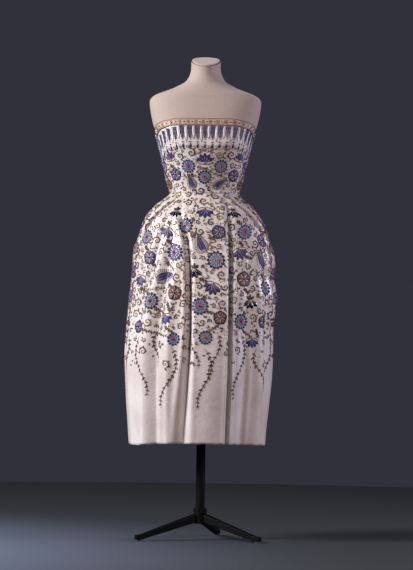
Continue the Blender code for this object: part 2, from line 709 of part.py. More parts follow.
def main():
    """Clear the scene and build the dress, its form and the stand round the pole's axis."""
    for obj in list(bpy.data.objects):
        bpy.data.objects.remove(obj)
    dress_on_form = bpy.data.objects.new("dress_on_form", None)
    bpy.context.scene.collection.objects.link(dress_on_form)
    dress_on_form.location = (STAND_OFFSET_X * MM, STAND_OFFSET_Y * MM, 0)
    add_bodice(dress_on_form)
    add_skirt(dress_on_form)
    add_band(dress_on_form)
    add_placket(dress_on_form)
    add_form(dress_on_form)
    add_neck_cap(dress_on_form)
    add_form_board(dress_on_form)
    add_stand(dress_on_form)


main()
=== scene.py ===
"""Looks of a strapless embroidered satin dress on its linen dress form and tripod stand.

The cloth, the embroidery and the stand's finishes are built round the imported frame. Sizes are in
millimetres unless a name says otherwise. Angles go round the vertical axis of the stand: 0 is the
centre front, +90 the side at +X, 180 the back.
"""

import logging
import math
from dataclasses import dataclass, field
from enum import Enum
from typing import NamedTuple, Sequence

import bpy
import numpy as np
from mathutils import Matrix, Vector


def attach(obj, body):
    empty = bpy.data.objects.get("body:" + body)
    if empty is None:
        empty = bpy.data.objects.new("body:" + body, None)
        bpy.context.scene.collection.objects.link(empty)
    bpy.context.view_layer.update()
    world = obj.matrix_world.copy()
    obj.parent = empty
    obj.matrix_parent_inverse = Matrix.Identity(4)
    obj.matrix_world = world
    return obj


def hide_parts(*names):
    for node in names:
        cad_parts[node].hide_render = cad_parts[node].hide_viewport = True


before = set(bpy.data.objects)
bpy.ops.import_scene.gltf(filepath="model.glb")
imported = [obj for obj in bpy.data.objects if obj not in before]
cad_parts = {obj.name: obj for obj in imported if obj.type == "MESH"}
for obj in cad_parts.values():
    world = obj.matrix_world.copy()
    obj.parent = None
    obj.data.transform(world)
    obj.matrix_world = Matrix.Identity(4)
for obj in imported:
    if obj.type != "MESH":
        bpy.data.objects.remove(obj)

LOG = logging.getLogger("dress")
MM = 0.001
AXIS = np.array([7.7, -13.8])  # of the stand's pole, in the frame

Array = np.ndarray
Faces = Sequence[Sequence[int]]
Material = bpy.types.Material
Node = bpy.types.Node
Object = bpy.types.Object
Socket = bpy.types.NodeSocket
Tree = bpy.types.NodeTree


# ---- tables --------------------------------------------------------------------------------------


class FormSection(NamedTuple):
    """One level of the dress form. A squareness of 2 is an ellipse, and more is squarer."""

    height: float
    half_width: float
    front: float
    back: float
    square: float


FORM_SECTIONS = tuple(
    FormSection(*row)
    for row in (
        (762, 157, 92, 108, 2.2),
        (820, 163, 98, 118, 2.2),
        (880, 164, 99, 125, 2.2),
        (930, 155, 94, 121, 2.2),
        (980, 132, 86, 104, 2.2),
        (1015, 111, 79, 89, 2.2),
        (1052, 102, 80, 84, 2.2),
        (1092, 113, 88, 89, 2.2),
        (1128, 120, 98, 93, 2.3),
        (1165, 129, 110, 97, 2.3),
        (1202, 138, 117, 101, 2.4),
        (1235, 147, 117, 104, 2.5),
        (1254, 156, 113, 104, 2.6),
        (1281, 163, 106, 103, 2.6),
        (1308, 168, 98, 101, 2.6),
        (1327, 170, 92, 97, 2.5),
        (1338, 168, 88, 94, 2.5),
        (1346, 161, 86, 92, 2.4),
        (1354, 148, 83, 88, 2.4),
        (1363, 124, 79, 83, 2.3),
        (1372, 101, 74, 77, 2.2),
        (1382, 81, 69, 69, 2.1),
        (1391, 65, 66, 60, 2.0),
        (1409, 51, 62, 46, 2.0),
        (1430, 45, 64, 36, 2.0),
        (1452, 44.7, 68, 32, 2.0),
    )
)


class SkirtSection(NamedTuple):
    """One level of the skirt without its folds: its reach to each side."""

    height: float
    left: float
    right: float
    front: float
    back: float


SKIRT_SECTIONS = tuple(
    SkirtSection(*row)
    for row in (
        (1049, 106, 106, 84, 88),
        (1037, 120, 117, 92, 101),
        (1019, 144, 139, 106, 121),
        (1000, 161, 156, 119, 138),
        (982, 175, 170, 130, 151),
        (945, 190, 188, 146, 169),
        (908, 202, 199, 156, 180),
        (872, 213, 214, 163, 186),
        (836, 214, 218, 168, 189),
        (799, 216, 214, 171, 191),
        (744, 223, 223, 175, 193),
        (690, 228, 219, 177, 194),
        (634, 233, 214, 178, 194),
        (560, 237, 214, 178, 193),
        (487, 234, 211, 177, 190),
        (415, 230, 205, 173, 186),
        (342, 224, 199, 169, 181),
        (290, 220, 196, 167, 178),
    )
)

FOLD_HEIGHTS = (1049, 1020, 985, 890, 650, 290)


class Fold(NamedTuple):
    """A valley that runs down the skirt: angle, depth and half width at each of FOLD_HEIGHTS."""

    name: str
    angle: Sequence[float]
    depth: Sequence[float]
    half_width: Sequence[float]
    lean: float


FOLDS = (
    Fold("front_left_pleat", (-42, -36, -31, -17.5, -13, -20.5),
         (0.8, 4, 6, 14, 20, 20), (6, 7, 8, 7.5, 8, 15), 0),
    Fold("front_right_pleat", (42, 36.5, 32.5, 29, 27, 27),
         (0.8, 4, 8, 24, 29, 26), (6, 7.5, 8, 7, 6.5, 6.5), 5),
    Fold("front_right_slope", (40, 36, 33, 31, 30, 30),
         (0, 0, 1, 5, 8, 11), (20, 24, 28, 34, 42, 46), 0),
    Fold("left_flute", (-48, -44, -40, -35, -44, -50),
         (0, 0, 1, 9, 18, 26), (8, 10, 12, 14, 17, 15), 0),
    Fold("left_drag", (-50, -48, -46, -47, -64, -69),
         (0, 1, 3, 9, 6, 3), (7, 9, 10, 11, 14, 18), 0),
    Fold("left_hip_pleat", (-47, -55, -64, -78, -83, -86),
         (0.8, 13, 24, 8, 6, 5), (6, 7, 9, 14, 18, 22), 7),
    Fold("right_flute", (56, 54, 52, 48, 46, 47),
         (0, 0, 0, 3, 12, 20), (8, 10, 12, 14, 22, 24), 0),
    Fold("right_drag", (62, 61, 60, 63, 66, 71),
         (0, 1, 2, 4, 7, 10), (7, 8, 9, 10, 13, 13), 0),
    Fold("right_hip_pleat", (46, 54, 63, 77, 80, 88),
         (0.8, 13, 24, 6, 8, 5), (6, 7, 9, 13, 14, 20), -7),
    Fold("left_side_pleat", (-90, -92, -94, -99, -104, -107),
         (0.8, 8, 15, 10, 13, 10), (6, 8, 10, 13, 16, 20), 5),
    Fold("right_side_pleat", (90, 91, 92, 98, 102, 104),
         (0.8, 8, 15, 11, 11, 9), (6, 8, 10, 13, 16, 19), -5),
    Fold("left_back_flute", (-110, -112, -113, -120, -125, -128),
         (0.8, 6, 11, 11, 15, 13), (6, 8, 10, 13, 17, 21), 0),
    Fold("right_back_flute", (108, 110, 112, 118, 122, 124),
         (0.8, 6, 12, 12, 14, 12), (6, 8, 10, 13, 17, 21), 0),
    Fold("left_back_drag", (-130, -132, -133, -138, -142, -144),
         (0.8, 4, 7, 7, 6, 5), (6, 8, 9, 12, 16, 20), 0),
    Fold("right_back_drag", (127, 129, 132, 139, 143, 145),
         (0.8, 4, 8, 8, 7, 6), (6, 8, 9, 12, 16, 20), 0),
    Fold("left_back_pleat", (-149, -150, -151, -155, -158, -155),
         (0.8, 5, 8, 22, 29, 25), (6, 8, 9, 10, 10, 11), 0),
    Fold("right_back_pleat", (149, 150, 152, 157, 160, 158),
         (0.8, 5, 8, 23, 30, 27), (6, 8, 9, 10, 10, 10), 0),
)  # fmt: skip


class Crease(NamedTuple):
    """A small crease on top of the folds, between two heights. A negative depth is a ridge."""

    angle_top: float
    angle_low: float
    top: float
    low: float
    depth: float
    half_width: float


CREASES = (
    Crease(-24, -17, 1049, 900, 1.6, 5),
    Crease(-15, -9, 1049, 930, 1.2, 4),
    Crease(14, 12, 1049, 930, 1.2, 4),
    Crease(25, 20, 1049, 880, -1.8, 5),
    Crease(34, 38, 1049, 920, 1.5, 4),
    Crease(-34, -29, 1049, 910, -1.6, 5),
    Crease(-68, -84, 1049, 900, 1.6, 5),
    Crease(70, 82, 1049, 900, 1.6, 5),
    Crease(-100, -108, 1049, 900, 1.6, 5),
    Crease(100, 106, 1049, 900, 1.5, 5),
    Crease(-121, -128, 1049, 880, 1.5, 5),
    Crease(120, 127, 1049, 880, 1.6, 5),
    Crease(-141, -147, 1049, 870, 1.4, 5),
    Crease(140, 148, 1049, 870, 1.5, 5),
    Crease(-165, -168, 1049, 860, 1.6, 5),
    Crease(166, 169, 1049, 860, 1.4, 5),
    Crease(-29, -36, 820, 60, -5.5, 10),
    Crease(47, 50, 800, 60, -6.5, 9),
    Crease(-58, -62, 760, 330, 2.0, 10),
    Crease(3, -2, 700, 300, 1.2, 18),
    Crease(34, 36, 760, 320, -2.0, 8),
    Crease(52, 55, 620, 300, 1.6, 10),
    Crease(80, 84, 800, 320, 1.8, 10),
    Crease(-92, -94, 780, 320, 1.8, 10),
    Crease(112, 114, 720, 320, 1.8, 9),
    Crease(-116, -118, 700, 320, -1.8, 9),
    Crease(133, 135, 700, 330, -1.6, 9),
    Crease(-150, -148, 640, 320, 1.6, 10),
    Crease(176, 175, 700, 310, 1.4, 12),
)

NECKLINE_DROPS = (
    (0, 0), (40, 0.3), (49, 4.5), (60, 10.5), (72, 24.5), (82, 38), (90, 44),
    (112, 58), (138, 72), (162, 80), (180, 82),
)  # fmt: skip


class Panel(NamedTuple):
    """A cut piece of cloth between two seams."""

    name: str
    left_seam: str
    right_seam: str


BODICE_SEAM_HEIGHTS = (1049, 1208, 1273)
BODICE_SEAMS = {
    "back_edge_left": (-180, -180, -180),
    "left_back": (-138, -136, -136),
    "left_side": (-90, -88, -87),
    "left_princess": (-27, -35, -42),
    "right_princess": (27, 35, 42),
    "right_side": (90, 88, 87),
    "right_back": (138, 136, 136),
    "back_edge_right": (180, 180, 180),
}
BODICE_PANELS = (
    Panel("bodice_front", "left_princess", "right_princess"),
    Panel("bodice_side_front_left", "left_side", "left_princess"),
    Panel("bodice_side_front_right", "right_princess", "right_side"),
    Panel("bodice_side_back_left", "left_back", "left_side"),
    Panel("bodice_side_back_right", "right_side", "right_back"),
    Panel("bodice_back_left", "back_edge_left", "left_back"),
    Panel("bodice_back_right", "right_back", "back_edge_right"),
)
SKIRT_PANELS = (
    Panel("skirt_front", "front_left_pleat", "front_right_pleat"),
    Panel("skirt_side_front_left", "left_side_pleat", "front_left_pleat"),
    Panel("skirt_side_front_right", "front_right_pleat", "right_side_pleat"),
    Panel("skirt_back_left", "centre_back_left", "left_side_pleat"),
    Panel("skirt_back_right", "right_side_pleat", "centre_back_right"),
)
CENTRE_BACK = {"centre_back_left": -180.0, "centre_back_right": 180.0}


# ---- curves and colours --------------------------------------------------------------------------


def to_linear(hex_colour: str) -> tuple[float, float, float, float]:
    """Turn an sRGB colour into the linear values that shaders use.

    Args:
        hex_colour: Six hexadecimal digits after a hash sign.

    Returns:
        Red, green, blue and an alpha of 1.
    """
    parts = [int(hex_colour[k : k + 2], 16) / 255 for k in (1, 3, 5)]
    linear = [c / 12.92 if c <= 0.04045 else ((c + 0.055) / 1.055) ** 2.4 for c in parts]
    return (*linear, 1.0)


def smooth(xs: Sequence[float], ys: Sequence[float], x: Array | float) -> Array:
    """Read a curve that passes through the points (xs, ys) and never swings past them.

    Args:
        xs: Places of the points, in any order.
        ys: Values of the points.
        x: Where to read the curve.

    Returns:
        The curve's values at x.
    """
    xs, ys, x = (np.asarray(values, float) for values in (xs, ys, x))
    order = np.argsort(xs)
    xs, ys = xs[order], ys[order]
    steps = np.diff(xs)
    slopes = np.diff(ys) / steps
    tangents = np.concatenate([slopes[:1], (slopes[1:] + slopes[:-1]) / 2, slopes[-1:]])
    tangents[1:-1][slopes[1:] * slopes[:-1] <= 0] = 0
    limit = 3 * np.minimum(np.abs(slopes[1:]), np.abs(slopes[:-1]))
    tangents[1:-1] = np.clip(tangents[1:-1], -limit, limit)
    x = np.clip(x, xs[0], xs[-1])
    k = np.clip(np.searchsorted(xs, x) - 1, 0, len(steps) - 1)
    t = (x - xs[k]) / steps[k]
    return (
        ys[k] * (2 * t**3 - 3 * t**2 + 1)
        + ys[k + 1] * (3 * t**2 - 2 * t**3)
        + steps[k] * tangents[k] * (t**3 - 2 * t**2 + t)
        + steps[k] * tangents[k + 1] * (t**3 - t**2)
    )


def read_section(table: Sequence[NamedTuple], column: str, height: float) -> Array:
    """Read one column of a table of sections at a height above the floor."""
    return smooth([row.height for row in table], [getattr(row, column) for row in table], height)


def oval_radius(angle: Array, across: Array, along: Array, square: Array) -> Array:
    """Find the radius of a rounded oval.

    Args:
        angle: Degrees from the front.
        across: Half of its width.
        along: Half of its depth.
        square: 2 for an ellipse, more for squarer corners.

    Returns:
        The radius at each angle.
    """
    turn = np.radians(angle)
    term = np.abs(np.sin(turn) / across) ** square + np.abs(np.cos(turn) / along) ** square
    return term ** (-1 / square)


def around(angle: Array, radius: Array) -> Array:
    """Turn angles from the front and distances from the stand's axis into points (x, y)."""
    turn = np.radians(angle)
    return np.stack([radius * np.sin(turn), -radius * np.cos(turn)], -1)


# ---- shapes --------------------------------------------------------------------------------------


@dataclass(frozen=True)
class FormShape:
    """The dress form's side wall."""

    bust_height: float = 1208.0
    bust_angle: float = 35.0
    bust_swell: float = 9.0
    bust_spread_angle: float = 20.0
    bust_spread_height: float = 36.0
    neck_top: float = 1452.0
    neck_tilt: float = math.radians(19.3)
    neck_tilt_start: float = 1400.0

    def radius(self, angle: Array, height: Array) -> Array:
        """Find the form's radius.

        Args:
            angle: Degrees from the front.
            height: Height above the floor.

        Returns:
            The radius.
        """
        front = read_section(FORM_SECTIONS, "front", height)
        back = read_section(FORM_SECTIONS, "back", height)
        radius = oval_radius(
            angle,
            read_section(FORM_SECTIONS, "half_width", height),
            np.where(np.cos(np.radians(angle)) > 0, front, back),
            read_section(FORM_SECTIONS, "square", height),
        )
        from_cup = (np.abs(angle) - self.bust_angle) / self.bust_spread_angle
        from_bust = (height - self.bust_height) / self.bust_spread_height
        return radius + self.bust_swell * np.exp(-(from_cup**2) - from_bust**2)

    def rise(self, flat: Array, height: float) -> Array:
        """Find how far the neck's leaning cut lifts points.

        Args:
            flat: Points (x, y) round the axis.
            height: Their height before the lift.

        Returns:
            The lift of each point.
        """
        share = np.clip((height - self.neck_tilt_start) / (self.neck_top - self.neck_tilt_start), 0, 1)
        middle = (FORM_SECTIONS[-1].back - FORM_SECTIONS[-1].front) / 2
        return share * math.tan(self.neck_tilt) * (flat[..., 1] - middle)


@dataclass(frozen=True)
class DressShape:
    """The outer face of the dress: the bodice above the waist seam and the pleated skirt below it."""

    form: FormShape = FormShape()
    waist: float = 1049.0
    hem: float = 290.0
    hem_front_rise: float = 7.0
    hem_left_dip: float = 4.0
    hem_dip_angle: float = -68.0
    hem_dip_spread: float = 14.0
    # Small waves of the hem: height, waves in a whole turn, and shift in degrees.
    hem_ripples: tuple[tuple[float, int, int], ...] = ((0.5, 23, 0), (0.4, 41, 30))
    neckline: float = 1272.5
    over_form: float = 4.0
    skirt_square: float = 2.15
    lip: float = 0.12
    lip_place: float = 2.1
    lip_spread: float = 0.8
    lean_place: float = 1.3
    lean_full_depth: float = 15.0

    def neckline_height(self, angle: Array) -> Array:
        """Find the height of the bodice's top edge at an angle in degrees from the front."""
        angles, drops = zip(*NECKLINE_DROPS)
        return self.neckline - smooth(angles, drops, np.abs(angle))

    def hem_offset(self, angle: Array) -> Array:
        """Find how far the hem stands above its lowest level at an angle.

        Args:
            angle: Degrees from the front.

        Returns:
            The offset.
        """
        dip = self.hem_left_dip * np.exp(-(((angle - self.hem_dip_angle) / self.hem_dip_spread) ** 2))
        waves = (high * np.sin(np.radians(angle * count + shift)) for high, count, shift in self.hem_ripples)
        return self.hem_front_rise * np.maximum(0, np.cos(np.radians(angle))) - dip + sum(waves)

    def ring(self, angle: Array, height: float) -> Array:
        """Find one level of the dress.

        Args:
            angle: Degrees from the front.
            height: Height above the floor.

        Returns:
            Points (x, y) round the axis.
        """
        if height >= self.waist:
            return around(angle, self.form.radius(angle, height) + self.over_form)
        right = np.sin(np.radians(angle)) > 0
        forward = np.cos(np.radians(angle)) > 0
        read = {part: read_section(SKIRT_SECTIONS, part, height) for part in SkirtSection._fields[1:]}
        radius = oval_radius(
            angle,
            np.where(right, read["right"], read["left"]),
            np.where(forward, read["front"], read["back"]),
            self.skirt_square,
        )
        push, slide = np.zeros_like(radius), np.zeros_like(radius)
        for fold in FOLDS:
            centre, depth, half_width = fold_at(fold, height)
            u = np.radians(angle - centre) * radius / half_width
            crests = np.exp(-(((np.abs(u) - self.lip_place) / self.lip_spread) ** 2))
            push += depth * (self.lip * crests - np.exp(-(u**2)))
            if fold.lean:
                outer_lip = np.exp(-((u * np.sign(-fold.lean) - self.lean_place) ** 2))
                slide += fold.lean * min(1.0, depth / self.lean_full_depth) * outer_lip
        for crease in CREASES:
            share = (crease.top - height) / (crease.top - crease.low)
            if 0 < share < 1:
                centre = crease.angle_top + share * (crease.angle_low - crease.angle_top)
                u = np.radians(angle - centre) * radius / crease.half_width
                push -= crease.depth * math.sin(math.pi * share) * np.exp(-(u**2))
        return around(angle + np.degrees(slide / radius), radius + push)


def fold_at(fold: Fold, height: float) -> list[float]:
    """Read a fold's angle, depth and half width at a height above the floor."""
    parts = (fold.angle, fold.depth, fold.half_width)
    return [float(smooth(FOLD_HEIGHTS, values, height)) for values in parts]


def seam_angle(name: str, height: float) -> float:
    """Find where a seam of the dress runs.

    Args:
        name: The seam's name.
        height: Height above the floor.

    Returns:
        Degrees from the front.
    """
    if name in CENTRE_BACK:
        return CENTRE_BACK[name]
    if name in BODICE_SEAMS:
        return float(smooth(BODICE_SEAM_HEIGHTS, BODICE_SEAMS[name], height))
    return fold_at(next(f for f in FOLDS if f.name == name), height)[0]


def split_place(place: Array, count: int) -> tuple[Array, Array]:
    """Split places along a row of points into a point's number and the share of the way to the next.

    Args:
        place: Places, 0 at the first point and 1 at the second.
        count: How many points the row has.

    Returns:
        The numbers and the shares. The last place is just short of the last point.
    """
    place = np.clip(place, 0, count - 1.001)
    number = place.astype(int)
    return number, (place - number)[..., None]


@dataclass
class DressMap:
    """The outer face of the dress as a sheet that can be drawn on.

    A place on it is (f, z). f is the share of the way round from the centre front, measured along the
    cloth through every fold: -1 and 1 meet at the centre back. z is the height above the floor.
    """

    shape: DressShape
    columns: int = 1500
    samples: int = 2881
    step: float = 4.0
    probe: float = 10.0
    least_lean: float = 0.45
    heights: Array = field(init=False)
    shares: Array = field(init=False)
    places: Array = field(init=False)
    turns: Array = field(init=False)
    halves: Array = field(init=False)
    normals: Array = field(init=False)

    def __post_init__(self) -> None:
        """Measure the dress level by level."""
        shape = self.shape
        self.heights = np.arange(shape.hem, shape.neckline + 2 * self.step, self.step)
        angles = np.linspace(-180, 180, self.samples)
        self.shares = np.linspace(-1, 1, self.columns)
        middle = len(angles) // 2
        places, turns, halves = [], [], []
        for height in self.heights:
            flat = shape.ring(angles, float(height))
            run = np.concatenate([[0], np.cumsum(np.linalg.norm(np.diff(flat, axis=0), axis=1))])
            run -= run[middle]
            share = np.where(run < 0, run / -run[0], run / run[-1])
            turn = np.interp(self.shares, share, angles)
            xy = [np.interp(self.shares, share, flat[:, k]) for k in (0, 1)]
            drop = np.clip((shape.waist - height) / (shape.waist - shape.hem), 0, 1)
            places.append(np.stack([*xy, height + shape.hem_offset(turn) * drop**2], -1))
            turns.append(turn)
            halves.append((-run[0], run[-1]))
        self.places = np.array(places)
        self.turns = np.array(turns)
        self.halves = np.array(halves)
        normals = np.cross(np.gradient(self.places, axis=1), np.gradient(self.places, axis=0))
        self.normals = normals / np.linalg.norm(normals, axis=-1, keepdims=True)

    def at(self, f: Array, z: Array) -> tuple[Array, Array]:
        """Find places on the dress.

        Args:
            f: Shares of the way round.
            z: Heights.

        Returns:
            Points and outward directions.
        """
        f, z = np.broadcast_arrays(np.asarray(f, float), np.asarray(z, float))
        c, s = split_place((f + 1) / 2 * (len(self.shares) - 1), len(self.shares))
        r, t = split_place((z - self.heights[0]) / self.step, len(self.heights))
        places, normals = (
            (grid[r, c] * (1 - s) + grid[r, c + 1] * s) * (1 - t)
            + (grid[r + 1, c] * (1 - s) + grid[r + 1, c + 1] * s) * t
            for grid in (self.places, self.normals)
        )
        return places, normals / np.linalg.norm(normals, axis=-1, keepdims=True)

    def angle_at(self, f: Array | float, z: Array | float) -> Array | float:
        """Turn shares of the way round into angles.

        Args:
            f: Shares of the way round.
            z: Heights.

        Returns:
            Degrees from the front.
        """
        column = np.clip((np.asarray(f) + 1) / 2 * (len(self.shares) - 1), 0, len(self.shares) - 2)
        row = np.clip((np.asarray(z) - self.heights[0]) / self.step, 0, len(self.heights) - 1).astype(int)
        c = column.astype(int)
        return self.turns[row, c] + (self.turns[row, c + 1] - self.turns[row, c]) * (column - c)

    def share_at(self, angle: float, z: float) -> float:
        """Turn an angle in degrees from the front into the share of the way round at a height."""
        row = int(np.clip(round((z - self.heights[0]) / self.step), 0, len(self.heights) - 1))
        return float(np.interp(angle, self.turns[row], self.shares))

    def scales(self, f: float, z: float) -> tuple[float, float]:
        """Find how much share and height one millimetre along the cloth takes.

        Args:
            f: Share of the way round.
            z: Height.

        Returns:
            Share per millimetre round the dress, and height per millimetre up it.
        """
        row = int(np.clip((z - self.heights[0]) / self.step, 0, len(self.heights) - 1))
        half = self.halves[row][0 if f < 0 else 1]
        (low, high), _ = self.at(np.array([f, f]), z + self.probe / 2 * np.array([-1, 1]))
        lean = abs((high - low)[2]) / max(np.linalg.norm(high - low), 1e-6)
        return 1.0 / half, float(np.clip(lean, self.least_lean, 1.0))


# ---- materials -----------------------------------------------------------------------------------

# Blender's wave texture turns this many radians a metre for each unit of its scale.
WAVE_TURN = 20.0
# Millimetres between ribs of laid floss, and between turns of wound metal strip.
RIB = 0.7143
STRIP_TURN = 1.111
# Where a soft noise starts and ends its change from one tone to the other.
SOFT_EDGES = (0.35, 0.65)


def per_metre(size: float) -> float:
    """Turn a pattern's size in millimetres into repeats per metre."""
    return 1 / (size * MM)


def set_inputs(tree: Tree, node: Node, inputs: dict) -> None:
    """Give a node's inputs their links and values.

    Args:
        tree: The node tree.
        node: The node.
        inputs: An output or a value for each input's name or number.
    """
    for name, source in inputs.items():
        if isinstance(source, Socket):
            tree.links.new(source, node.inputs[name])
        else:
            node.inputs[name].default_value = source


def add_node(tree: Tree, kind: str, settings: dict | None = None, inputs: dict | None = None) -> Node:
    """Add one shader node with its settings and links.

    Args:
        tree: The node tree.
        kind: The node's type.
        settings: Values of its attributes.
        inputs: An output or a value for each input's name or number.

    Returns:
        The node.
    """
    node = tree.nodes.new(kind)
    for name, value in (settings or {}).items():
        setattr(node, name, value)
    set_inputs(tree, node, inputs or {})
    return node


def new_material(name: str) -> tuple[Material, Tree, Node, Socket]:
    """Make a material with a plain shader.

    Args:
        name: Its name.

    Returns:
        The material, its tree, its shader and the object's own coordinates in metres.
    """
    material = bpy.data.materials.new(name)
    material.use_nodes = True
    tree = material.node_tree
    where = add_node(tree, "ShaderNodeTexCoord").outputs["Object"]
    return material, tree, tree.nodes["Principled BSDF"], where


def two_tones(tree: Tree, where: Socket, size: float, low: str, high: str) -> Socket:
    """Mix two colours by a soft noise.

    Args:
        tree: The node tree.
        where: Coordinates in metres.
        size: Size of a patch in millimetres.
        low: First colour.
        high: Second colour.

    Returns:
        The colour.
    """
    looks = {"Scale": per_metre(size), "Detail": 3.0, "Vector": where}
    noise = add_node(tree, "ShaderNodeTexNoise", inputs=looks)
    ramp = add_node(tree, "ShaderNodeValToRGB", inputs={0: noise.outputs["Fac"]})
    for stop, place, colour in zip(ramp.color_ramp.elements, SOFT_EDGES, (low, high)):
        stop.position, stop.color = place, to_linear(colour)
    return ramp.outputs["Color"]


def weave_height(tree: Tree, where: Socket, pitch: float) -> Socket:
    """Make the relief of a plain weave from two crossed sets of threads.

    Args:
        tree: The node tree.
        where: Coordinates in metres.
        pitch: Distance between threads in millimetres.

    Returns:
        The relief.
    """
    looks = {"Scale": 2 * math.pi * per_metre(pitch) / WAVE_TURN, "Distortion": 0.6, "Vector": where}
    across, along = (
        add_node(tree, "ShaderNodeTexWave", {"bands_direction": axis}, looks).outputs["Fac"] for axis in "XZ"
    )
    return add_node(tree, "ShaderNodeMath", {"operation": "ADD"}, {0: across, 1: along}).outputs[0]


@dataclass(frozen=True)
class Satin:
    """Silk satin, woven with long floats: a smooth face with a broad soft highlight.

    Real floats lie about 0.1 mm apart. Their pitch is drawn as coarse as it needs to be to show.
    """

    light: str = "#d3cdcb"
    shade: str = "#c4bab6"
    roughness: float = 0.27
    patch: float = 111.11
    pucker: float = 14.286
    pitch: float = 1.5708
    weave_share: float = 0.02

    def make(self) -> Material:
        """Build the material.

        Returns:
            The material.
        """
        material, tree, shader, where = new_material("silk_satin_woven")
        # Small soft puckers between the stitches catch the light unevenly.
        looks = {"Scale": per_metre(self.pucker), "Detail": 4.0, "Vector": where}
        pucker = add_node(tree, "ShaderNodeTexNoise", inputs=looks)
        weave = weave_height(tree, where, self.pitch)
        sums = {0: weave, 1: self.weave_share, 2: pucker.outputs["Fac"]}
        relief = add_node(tree, "ShaderNodeMath", {"operation": "MULTIPLY_ADD"}, sums)
        looks = {"Strength": 0.3, "Distance": 0.004, "Height": relief.outputs[0]}
        bump = add_node(tree, "ShaderNodeBump", inputs=looks)
        looks = {
            # Slightly uneven ivory, as undyed silk has.
            "Base Color": two_tones(tree, where, self.patch, self.shade, self.light),
            "Roughness": self.roughness,
            "Specular IOR Level": 0.8,
            # The floats give a pearly bloom at grazing angles.
            "Sheen Weight": 0.25,
            "Sheen Roughness": 0.4,
            "Normal": bump.outputs["Normal"],
        }
        set_inputs(tree, shader, looks)
        return material


@dataclass(frozen=True)
class Linen:
    """Plain-weave linen stretched over padding: matt, with a fine grid of threads.

    Real threads lie about 0.7 mm apart. Their pitch is drawn as coarse as it needs to be to show.
    """

    light: str = "#a6978f"
    shade: str = "#9e8f88"
    slub: float = 3.846
    pitch: float = 2.8274

    def make(self) -> Material:
        """Build the material.

        Returns:
            The material.
        """
        material, tree, shader, where = new_material("linen_plain_weave")
        # The threads' grid is felt more than seen.
        looks = {"Strength": 0.25, "Distance": 0.0004, "Height": weave_height(tree, where, self.pitch)}
        bump = add_node(tree, "ShaderNodeBump", inputs=looks)
        looks = {
            # Uneven yarns give a faint mottle.
            "Base Color": two_tones(tree, where, self.slub, self.shade, self.light),
            "Roughness": 0.9,
            "Sheen Weight": 0.15,
            "Normal": bump.outputs["Normal"],
        }
        set_inputs(tree, shader, looks)
        return material


@dataclass(frozen=True)
class PaintedSteel:
    """Steel with sprayed black paint: dull, a little polished by hands."""

    colour: str = "#030304"
    worn_patch: float = 40.0
    peel: float = 1.111

    def make(self) -> Material:
        """Build the material.

        Returns:
            The material.
        """
        material, tree, shader, where = new_material("steel_black_painted")
        # Handling polishes the paint in patches.
        looks = {"Scale": per_metre(self.worn_patch), "Detail": 5.0, "Vector": where}
        worn = add_node(tree, "ShaderNodeTexNoise", inputs=looks)
        looks = {"To Min": 0.5, "To Max": 0.7, "Value": worn.outputs["Fac"]}
        rough = add_node(tree, "ShaderNodeMapRange", inputs=looks)
        # Sprayed paint has a faint orange-peel surface.
        looks = {"Scale": per_metre(self.peel), "Vector": where}
        peel = add_node(tree, "ShaderNodeTexNoise", inputs=looks)
        looks = {"Strength": 0.05, "Distance": 0.0003, "Height": peel.outputs["Fac"]}
        bump = add_node(tree, "ShaderNodeBump", inputs=looks)
        looks = {
            "Base Color": to_linear(self.colour),
            "Specular IOR Level": 0.1,
            "Roughness": rough.outputs["Result"],
            "Normal": bump.outputs["Normal"],
        }
        set_inputs(tree, shader, looks)
        return material


@dataclass(frozen=True)
class Rubber:
    """Moulded rubber of the feet: dull, with dust in patches."""

    colour: str = "#1c1b1b"
    dusty: str = "#2b2a29"
    patch: float = 8.333

    def make(self) -> Material:
        """Build the material.

        Returns:
            The material.
        """
        material, tree, shader, where = new_material("rubber_moulded")
        dust = two_tones(tree, where, self.patch, self.colour, self.dusty)
        set_inputs(tree, shader, {"Base Color": dust, "Roughness": 0.8})
        return material


@dataclass(frozen=True)
class Board:
    """Beech board with an oil finish: half matt, with straight grain along X."""

    light: str = "#b08a60"
    dark: str = "#8f6b47"
    grain: float = 8.333
    stretch: float = 20.0

    def make(self) -> Material:
        """Build the material.

        Returns:
            The material.
        """
        material, tree, shader, where = new_material("beech_board_oiled")
        looks = {"Scale": (1 / self.stretch, 1.0, 1.0), "Vector": where}
        along = add_node(tree, "ShaderNodeMapping", inputs=looks)
        grain = two_tones(tree, along.outputs["Vector"], self.grain, self.dark, self.light)
        set_inputs(tree, shader, {"Base Color": grain, "Roughness": 0.55})
        return material


class Finish(Enum):
    """How a kind of embroidery material takes the light."""

    SILK = "silk_floss"
    METAL = "metal_thread"
    GLASS = "glass_bead"


